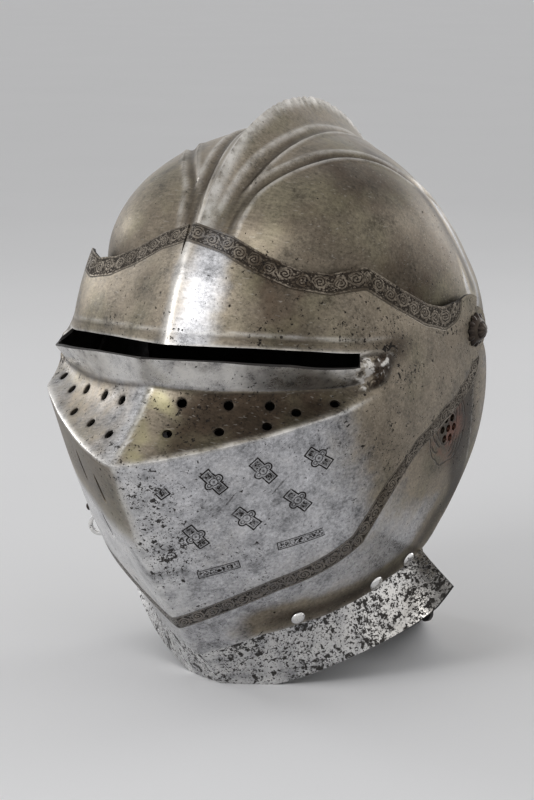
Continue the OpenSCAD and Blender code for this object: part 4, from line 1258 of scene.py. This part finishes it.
class HELMET_OT_skull(PieceOperator, bpy.types.Operator):
    """Builds the skull with its roped comb and its flutes."""
    bl_idname = "helmet.skull"
    bl_label = "Skull"

    def build(self):
        plates = settings()[0]
        s = runs(0, (12, 12), (74, 49), (SIDE_START * SKULL_W, 6)) / SKULL_W
        s = np.concatenate([s, runs(SIDE_START, (2, 14), (3, 2))[1:]])[:, None]
        q = runs(BROW_ANGLE, (62, 39), (188, 185), (NAPE_ANGLE, 39))[None, :]
        brow, nape = (bowl(smooth(SKULL_FORM, at)) for at in (BROW_ANGLE, NAPE_ANGLE))
        t = (np.arange(1, 12) / 12)[None, :]
        around = ring_part(brow, nape, straight(BROW_EDGE, s), straight(NAPE_EDGE, s), t, s)
        halves = []
        for side in (-1, 1):
            parts = zip(skull_point(s, q, side), around)
            halves.append(fan(SKULL_W, side, *(np.concatenate(pair, 1) for pair in parts)))
        outer = ease_arms(mirrored(*halves), mirrored(s[:, 0], s[:, 0]))
        obj = plate_shell("worn_skull", outer, q.shape[1] - 1, plates.dents, 4)
        paint_skull(obj)
        hand_in_plate(obj, "Warm fluted steel", SKULL_BODY, "skull")


class HELMET_OT_visor(PieceOperator, bpy.types.Operator):
    """Builds the visor with its prow, sight, breaths, etched bands and marks."""
    bl_idname = "helmet.visor"
    bl_label = "Visor"

    def build(self):
        plates = settings()[0]
        places = plate_places(plates.step, [SIGHT_END])
        rows = mirrored(places, places)
        counts = cells_across(VISOR_CELLS, plates.step)
        last, lip = sum(counts), sum(counts[:3])
        sight = lip + counts[3]
        outer = strips_grid(VISOR, places, counts, 12, SIGHT_END)
        kept = {col: outer[:, col].copy() for col in (lip, sight)}
        outer = soften(outer, last, plates.rounding)
        for col, points in kept.items():
            outer[:, col] = np.where((rows <= SIGHT_END + 0.02)[:, None], points, outer[:, col])
        low, high = int(counts[0] * 0.55), sight + int(counts[4] * 0.45)
        outer = ease_arms(fair_flank(outer, rows, low, high, last), rows)
        open_rows = int((places > SIGHT_END + 1e-9).sum())
        obj = plate_shell("worn_visor", outer, last, plates.dents, 3, (lip, sight), self.frame_end,
                          (lip, sight, open_rows))
        round_holes = [(p, n, heading_on(n)) for p, n in breaths(ROUND_BREATHS)]
        narrow_holes = [(p, n, heading_on(n, (0, 0, -1))) for p, n in breaths(NARROW_BREATHS)]
        cut(obj, drill("breaths", round_holes, 2.4))
        cut(obj, drill("narrow_breaths", narrow_holes, 1.3, 0.5, 17))
        cut(obj, self.crack())
        paint_visor(obj)
        hand_in_plate(obj, "Etched steel", VISOR_BODY, "visor")

    def frame_end(self, grid):
        """Height of the crumpled boss at the sight's end."""
        points = grid.reshape(-1, 3)
        x, _, angle = in_fan(points)
        boss = near(np.abs(x) - 90.5, 4.2) * near(angle - FRAME_END_ANGLE, 4.6)
        return (1.1 * boss * (1.0 + 0.8 * waves(points, 6.5, 11))).reshape(grid.shape[:2])

    def crack(self):
        """Cutter for the old crack that runs down from the upper edge beside the ridge."""
        outline = [(-4.2, 66), (-3.7, 60), (-4.0, 57.5), (-2.9, 54), (-2.7, 50), (-1.5, 45), (-1.3, 50),
                   (-1.6, 54.5), (-0.8, 57), (-1.3, 60), (-0.6, 66)]
        obj = prism("crack", outline, (-128, -100))
        move_points(obj, lambda x, y, z: in_frame((x, y, z)))
        return obj


class HELMET_OT_bevor(PieceOperator, bpy.types.Operator):
    """Builds the bevor with the holes over the ears."""
    bl_idname = "helmet.bevor"
    bl_label = "Bevor"

    def build(self):
        plates = settings()[0]
        counts = cells_across(BEVOR_CELLS, plates.step)
        places, last = plate_places(plates.step * 1.2), sum(counts)
        outer = soften(strips_grid(BEVOR, places, counts, 14), last, plates.rounding)
        outer = ease_arms(outer, mirrored(places, places))
        obj = plate_shell("worn_bevor", outer, last, plates.dents, 3)
        holes = []
        for side in (-1, 1):
            middle, n = strip_place(BEVOR, side, 0, *EAR_HOLES)
            way = heading_on(n, (0, 1, 0))
            up = np.cross(n, way)
            holes += [(middle + 6 * (way * np.cos(a) + up * np.sin(a)), n, way)
                      for a in np.arange(6) * np.pi / 3]
            holes.append((middle, n, way))
        cut(obj, drill("ear_holes", holes, 2.0))
        paint_bevor(obj)
        hand_in_plate(obj, "Stained steel", BEVOR_BODY, "bevor")


class HELMET_OT_neck_lames(PieceOperator, bpy.types.Operator):
    """Builds the front and the rear neck lame, flared and heavily pitted."""
    bl_idname = "helmet.neck_lames"
    bl_label = "Neck lames"

    def build(self):
        # The front lame is rubbed bright all over: bright steel, lit further by a painted highlight
        for name, section, last_place, body, node, wear in (
                ("worn_front_lame", front_section, 0.78, BEVOR_BODY, "front_neck_lame", (0.06, 0.78, 0.85)),
                ("worn_rear_lame", rear_section, 0.7, SKULL_BODY, "rear_neck_lame", (0.3, 0.5, 0.2))):
            places = np.linspace(0, last_place, 64)
            outer = mirrored(*(np.array([section(side, s) for s in places]) for side in (-1, 1)))
            outer[..., 2] = np.maximum(outer[..., 2], -PIVOT[2])
            last = outer.shape[1] - 1
            inner = outer - grid_normals(outer, [0], [last], 2) * PLATE
            obj = shell_mesh(name, *(np.concatenate([g, g[:, :1]], 1) for g in (outer, inner)), last, 0)
            paint_lame(obj, *wear)
            hand_in_plate(obj, "Pitted steel", body, node)


class HELMET_OT_rivets(PieceOperator, bpy.types.Operator):
    """Builds the domed rivets that hold the neck lames."""
    bl_idname = "helmet.rivets"
    bl_label = "Lame rivets"

    def build(self):
        plates = settings()[0]
        front = [strip_place(BEVOR, side, 0, s, rail_angle(NECK, s) + RIVET_INSET / edge_reach(s))
                 for side in (-1, 1) for s in FRONT_RIVETS]
        rear = [skull_place(side, s, above_nape(s, RIVET_INSET))
                for side, places in ((-1, REAR_RIVETS[1:]), (1, REAR_RIVETS)) for s in places]
        base = 0.3
        foot = base - (2 * PLATE + 2.2)
        profile = rivet_profile(dome(4, base, plates.rivet_dome, 9), 1.6, base, foot, 1)
        for name, places, body, node in (("front_rivet_heads", front, BEVOR_BODY, "front_lame_rivets"),
                                         ("rear_rivet_heads", rear, SKULL_BODY, "rear_lame_rivets")):
            heads = repeat(name, lathe(name + "_shape", profile, 36),
                           [(p, n, heading_on(n)) for p, n in places], finish_of("Polished rivets"), 0.03)
            hand_in(heads, body, node)


NUT_TOP, NUT_EYE = SKULL_W - PLATE - 0.6, 3.06
NUT = [(6, NUT_TOP - 2.3, True), (6, NUT_TOP - 0.7, True), (5.3, NUT_TOP, True), (NUT_EYE, NUT_TOP, False),
       (NUT_EYE, NUT_TOP - 3, False), (5.3, NUT_TOP - 3, True)]
HUB = [(r, z + VISOR_W, False) for r, z in ((NUT_EYE, 0.0), (7.6, 0.0), (7.9, 0.35), (6.9, 1.2), (5.6, 2.7),
                                            (5.1, 3.3), (4.7, 3.4), (NUT_EYE, 3.4))]
BOLT_RIM = VISOR_W + 3.4
BOLT = dome(4.6, BOLT_RIM, 2.4, 10) + [(3, BOLT_RIM), (3, NUT_TOP - 3.5), (2.5, NUT_TOP - 4),
                                       (0, NUT_TOP - 4)]


class HELMET_OT_pivots(PieceOperator, bpy.types.Operator):
    """Builds the pivot bolts, their petalled rosettes and the nuts inside."""
    bl_idname = "helmet.pivots"
    bl_label = "Pivots"

    def build(self):
        for side, word in ((1, "left"), (-1, "right")):
            bolt = self.to_side(lathe("worn_bolt_" + word, BOLT, 64, 8, 0.16), side)
            self.hand_in(bolt, side, "Dark bronze", "pivot_bolt_" + word, BOLT_RIM + 0.9)
            rosette = self.petals(side, word)
            join(rosette, self.to_side(ring("hub_" + word, HUB, 48), side))
            rosette.name = "worn_rosette_" + word
            self.hand_in(rosette, side, "Dark bronze", "pivot_rosette_" + word, VISOR_W + 1.6)
            nut = self.to_side(ring("worn_nut_" + word, NUT, 32), side)
            self.hand_in(nut, side, "Polished rivets", "pivot_nut_" + word, NUT_TOP)

    def petals(self, side, word):
        petal = lathe("petal_shape_" + word, dome(1, 0, 1, 7) + [(0.9, -0.15), (0, -0.15)], 14)
        move_points(petal, lambda x, y, z: (5.6 + x * 3.45, y * (1.45 + 0.65 * x),
                                            max(z, 0) * (2.1 - 0.85 * x) + min(z, 0)))
        outward(petal.data)
        return repeat("worn_petals_" + word, petal,
                      [((side * (VISOR_W + 0.2), 0, 0), (side, 0, 0), (0, np.cos(a), np.sin(a)))
                       for a in np.arange(12) * np.pi / 6], finish_of("Dark bronze"))

    def to_side(self, obj, side):
        """Turns a mesh made along +Z so that it points out from a pivot, on the left or the right."""
        move_points(obj, lambda x, y, z: in_frame((side * z, y, -x * side)))
        outward(obj.data)
        return obj

    def hand_in(self, obj, side, material, node, high):
        """Hands in a piece of a pivot, rubbed where it stands out past high."""
        paint(obj, rubbed=ramp(local_points(obj)[:, 0] * side, high - 0.8, high + 1.2))
        hand_in_fitting(obj, material, SKULL_BODY, node)


def ring(name, profile, turns):
    """A closed ring from a loop of (radius, height, whether it is square with rounded corners)."""
    count, points = len(profile), []
    for a in np.arange(turns) * 2 * np.pi / turns:
        near_side, far_side = sorted(np.abs([np.cos(a), np.sin(a)]))
        corner = (1 - 0.1 * ramp(near_side, 0.55, 0.7071)) / far_side
        for r, z, square in profile:
            k = r * corner if square else r
            points.append([k * np.cos(a), k * np.sin(a), z])
    faces = [[i * count + k, i * count + (k + 1) % count, (i + 1) % turns * count + (k + 1) % count,
              (i + 1) % turns * count + k] for i in range(turns) for k in range(count)]
    return new_object(name, points, faces)


def join(obj, other):
    """Adds another mesh's faces to an object."""
    work = bmesh.new()
    work.from_mesh(obj.data)
    work.from_mesh(other.data)
    work.to_mesh(obj.data)
    work.free()
    bpy.data.objects.remove(other)
    obj.data.update()


def seat(point, normal):
    """Axes on a plate as columns: down the plate, across it, and out of it."""
    tilt, turn = np.arccos(normal[2]), np.arctan2(normal[1], normal[0])
    down = [np.cos(tilt) * np.cos(turn), np.cos(tilt) * np.sin(turn), -np.sin(tilt)]
    return point, np.stack([down, [-np.sin(turn), np.cos(turn), 0], normal], 1)


class HELMET_OT_lock(PieceOperator, bpy.types.Operator):
    """Builds the lock hook on the visor, its rivet, and the stud that it catches."""
    bl_idname = "helmet.lock"
    bl_label = "Lock hook and stud"

    def build(self):
        hook_at = seat(*strip_place(VISOR, -1, 0, *HOOK_SEAT))
        stud_at = seat(*strip_place(BEVOR, -1, 0, *STUD_SEAT))
        self.set_on(self.hook(), hook_at, "Polished rivets", HOOK_BODY, "lock_hook", "plate_steel", 0.35)
        top, foot = 2.6, 0.6 - PLATE - 0.9
        rivet = lathe("worn_hook_rivet", rivet_profile(dome(2, top, 1.2, 7), 1.2, top, foot, 0.4))
        self.set_on(rivet, hook_at, "Dark bronze", VISOR_BODY, "lock_hook_rivet", "dark_bronze")
        inside = -PLATE - 0.3
        stud = lathe("worn_stud", [(0, 6.0), (0.7, 6.0), (1.0, 5.7), (1.0, 1.3), (1.5, 1.3), (1.8, 1.0),
                                   (1.8, 0.3), (1, 0.3), (1, inside), (1.8, inside), (1.8, inside - 1),
                                   (0, inside - 1)], 28)
        pin = lathe("pin_shape", [(0, -1.8), (0.4, -1.8), (0.5, -1.7), (0.5, 1.7), (0.4, 1.8), (0, 1.8)], 16)
        move_points(pin, lambda x, y, z: (x, z, 5 - y))
        join(stud, pin)
        self.set_on(stud, stud_at, "Polished rivets", BEVOR_BODY, "lock_stud", "plate_steel")

    def hook(self):
        """The hook flat on a plate, its arm from the rivet down to the bow round the stud."""
        outer, inner, end, half_w = 6.2, 4.2, -32, 2

        def bow(r, first, last):
            turns = np.radians(np.linspace(first, last, 26))
            return [[10.5 + r * np.cos(a), r * np.sin(a) - 0.5] for a in turns]

        outline = [[-4.2, 0.3], [-4.2, 2.3]] + bow(outer, 180 - np.degrees(np.arcsin(2.8 / outer)), end)
        outline += bow(inner, end, 180 - np.degrees(np.arcsin(0.8 / inner)))
        obj = prism("worn_hook", outline, (-half_w, half_w))
        move_points(obj, lambda x, y, z: (x, y * (0.86 if x < 0 else 1) * (1 - 0.25 * ramp(x, 12, 17)), z))
        return obj

    def set_on(self, obj, at, material, body, node, slot, bevel=0.0):
        """Hands in a piece that was made on +Z, at its seat on a plate."""
        point, axes = at
        move_points(obj, lambda x, y, z: in_frame(point + axes @ (x, y, z)))
        if bevel:
            rounded = obj.modifiers.new("edges", "BEVEL")
            rounded.width, rounded.segments, rounded.limit_method = bevel * MM, 2, "ANGLE"
            rounded.angle_limit = np.radians(40)
            apply_modifiers(obj)
        outward(obj.data)
        paint(obj, rubbed=np.full(len(obj.data.vertices), 0.5))
        hand_in_fitting(obj, material, body, node)


# The camera, and the middle of what the lights are turned to
CAMERA_PLACE, CAMERA_BACK = (702.6, -1254.8, 207.8), (0.4924, -0.8529, 0.1736)
LENS, SENSOR = 122.85, 36
LIT = (0, -60, -20)


class HELMET_OT_studio(PieceOperator, bpy.types.Operator):
    """Sets up the floor, the light and the camera."""
    bl_idname = "helmet.studio"
    bl_label = "Studio"

    def build(self):
        studio, scene = settings()[2], bpy.context.scene
        scene.view_settings.view_transform = "Standard"
        self.floor(studio.floor)
        self.world(studio.fill)
        for name, way, size, power in (("Main light", (-0.2, -1.44, 0.93), 0.9, studio.key),
                                       ("Left light", (-1.6, 0.2, 0.45), 0.5, studio.key * 0.33),
                                       ("Rear light", (0.6, 1.56, 0.5), 0.8, studio.rim)):
            light = bpy.data.lights.new(name, "AREA")
            light.energy, light.shape, light.size = power, "DISK", size
            self.aim(light, Vector(in_frame(LIT)) + Vector(way), Vector(way))
        camera = bpy.data.cameras.new("Camera")
        camera.lens, camera.sensor_width = LENS, SENSOR
        camera.clip_start, camera.clip_end = 0.05, 200
        scene.camera = self.aim(camera, in_frame(CAMERA_PLACE), Vector(CAMERA_BACK))

    def aim(self, data, place, back):
        """A light or camera at a place, turned away from the direction back."""
        obj = bpy.data.objects.new(data.name, data)
        obj.location = place
        obj.rotation_mode = "QUATERNION"
        obj.rotation_quaternion = (-back).to_track_quat("-Z", "Y")
        bpy.context.scene.collection.objects.link(obj)
        return obj

    def floor(self, colour):
        half = 40
        obj = new_object("Floor", [(-half, -half, 0), (half, -half, 0), (half, half, 0), (-half, half, 0)],
                         [(0, 1, 2, 3)])
        g = Graph("Studio floor")
        tone = g.colour([c * 0.96 for c in colour], colour, g.noise(300, 2.0))
        obj.data.materials.append(g.finish(tone, 0.85, 0.0))

    def world(self, fill):
        """White all round, and dimmer as a light than the camera and the reflections see it."""
        world = bpy.data.worlds.new("Studio")
        bpy.context.scene.world = world
        world.use_nodes = True
        tree = world.node_tree
        tree.nodes.clear()
        ray = add_node(tree, "ShaderNodeLightPath").outputs
        seen = add_node(tree, "ShaderNodeMath", {0: ray["Is Camera Ray"], 1: ray["Is Glossy Ray"]},
                        operation="MAXIMUM").outputs[0]
        level = add_node(tree, "ShaderNodeMapRange", {0: seen, 3: fill, 4: 1.0}).outputs[0]
        light = add_node(tree, "ShaderNodeBackground", {"Color": (1, 1, 1, 1), "Strength": level}).outputs[0]
        add_node(tree, "ShaderNodeOutputWorld", {"Surface": light})


STEPS = ("skull", "bevor", "visor", "neck_lames", "rivets", "pivots", "lock", "studio")


class HELMET_PT_panel(bpy.types.Panel):
    """Lists the pieces in the order in which they are built."""
    bl_idname = "HELMET_PT_panel"
    bl_label = "Close helmet"
    bl_space_type = "VIEW_3D"
    bl_region_type = "UI"
    bl_category = "Helmet"

    def draw(self, context):
        for name, group in GROUPS.items():
            for setting in group.__annotations__:
                self.layout.prop(getattr(context.scene, name), setting)
        for step in STEPS:
            self.layout.operator("helmet." + step)


CLASSES = (*GROUPS.values(), HELMET_OT_skull, HELMET_OT_visor, HELMET_OT_bevor, HELMET_OT_neck_lames,
           HELMET_OT_rivets, HELMET_OT_pivots, HELMET_OT_lock, HELMET_OT_studio, HELMET_PT_panel)


def register():
    for cls in CLASSES:
        bpy.utils.register_class(cls)
    for name, group in GROUPS.items():
        setattr(bpy.types.Scene, name, bpy.props.PointerProperty(type=group))


def unregister():
    for name in GROUPS:
        delattr(bpy.types.Scene, name)
    for cls in reversed(CLASSES):
        bpy.utils.unregister_class(cls)


def main():
    register()
    for step in STEPS:
        getattr(bpy.ops.helmet, step)()


if __name__ == "__main__":
    main()
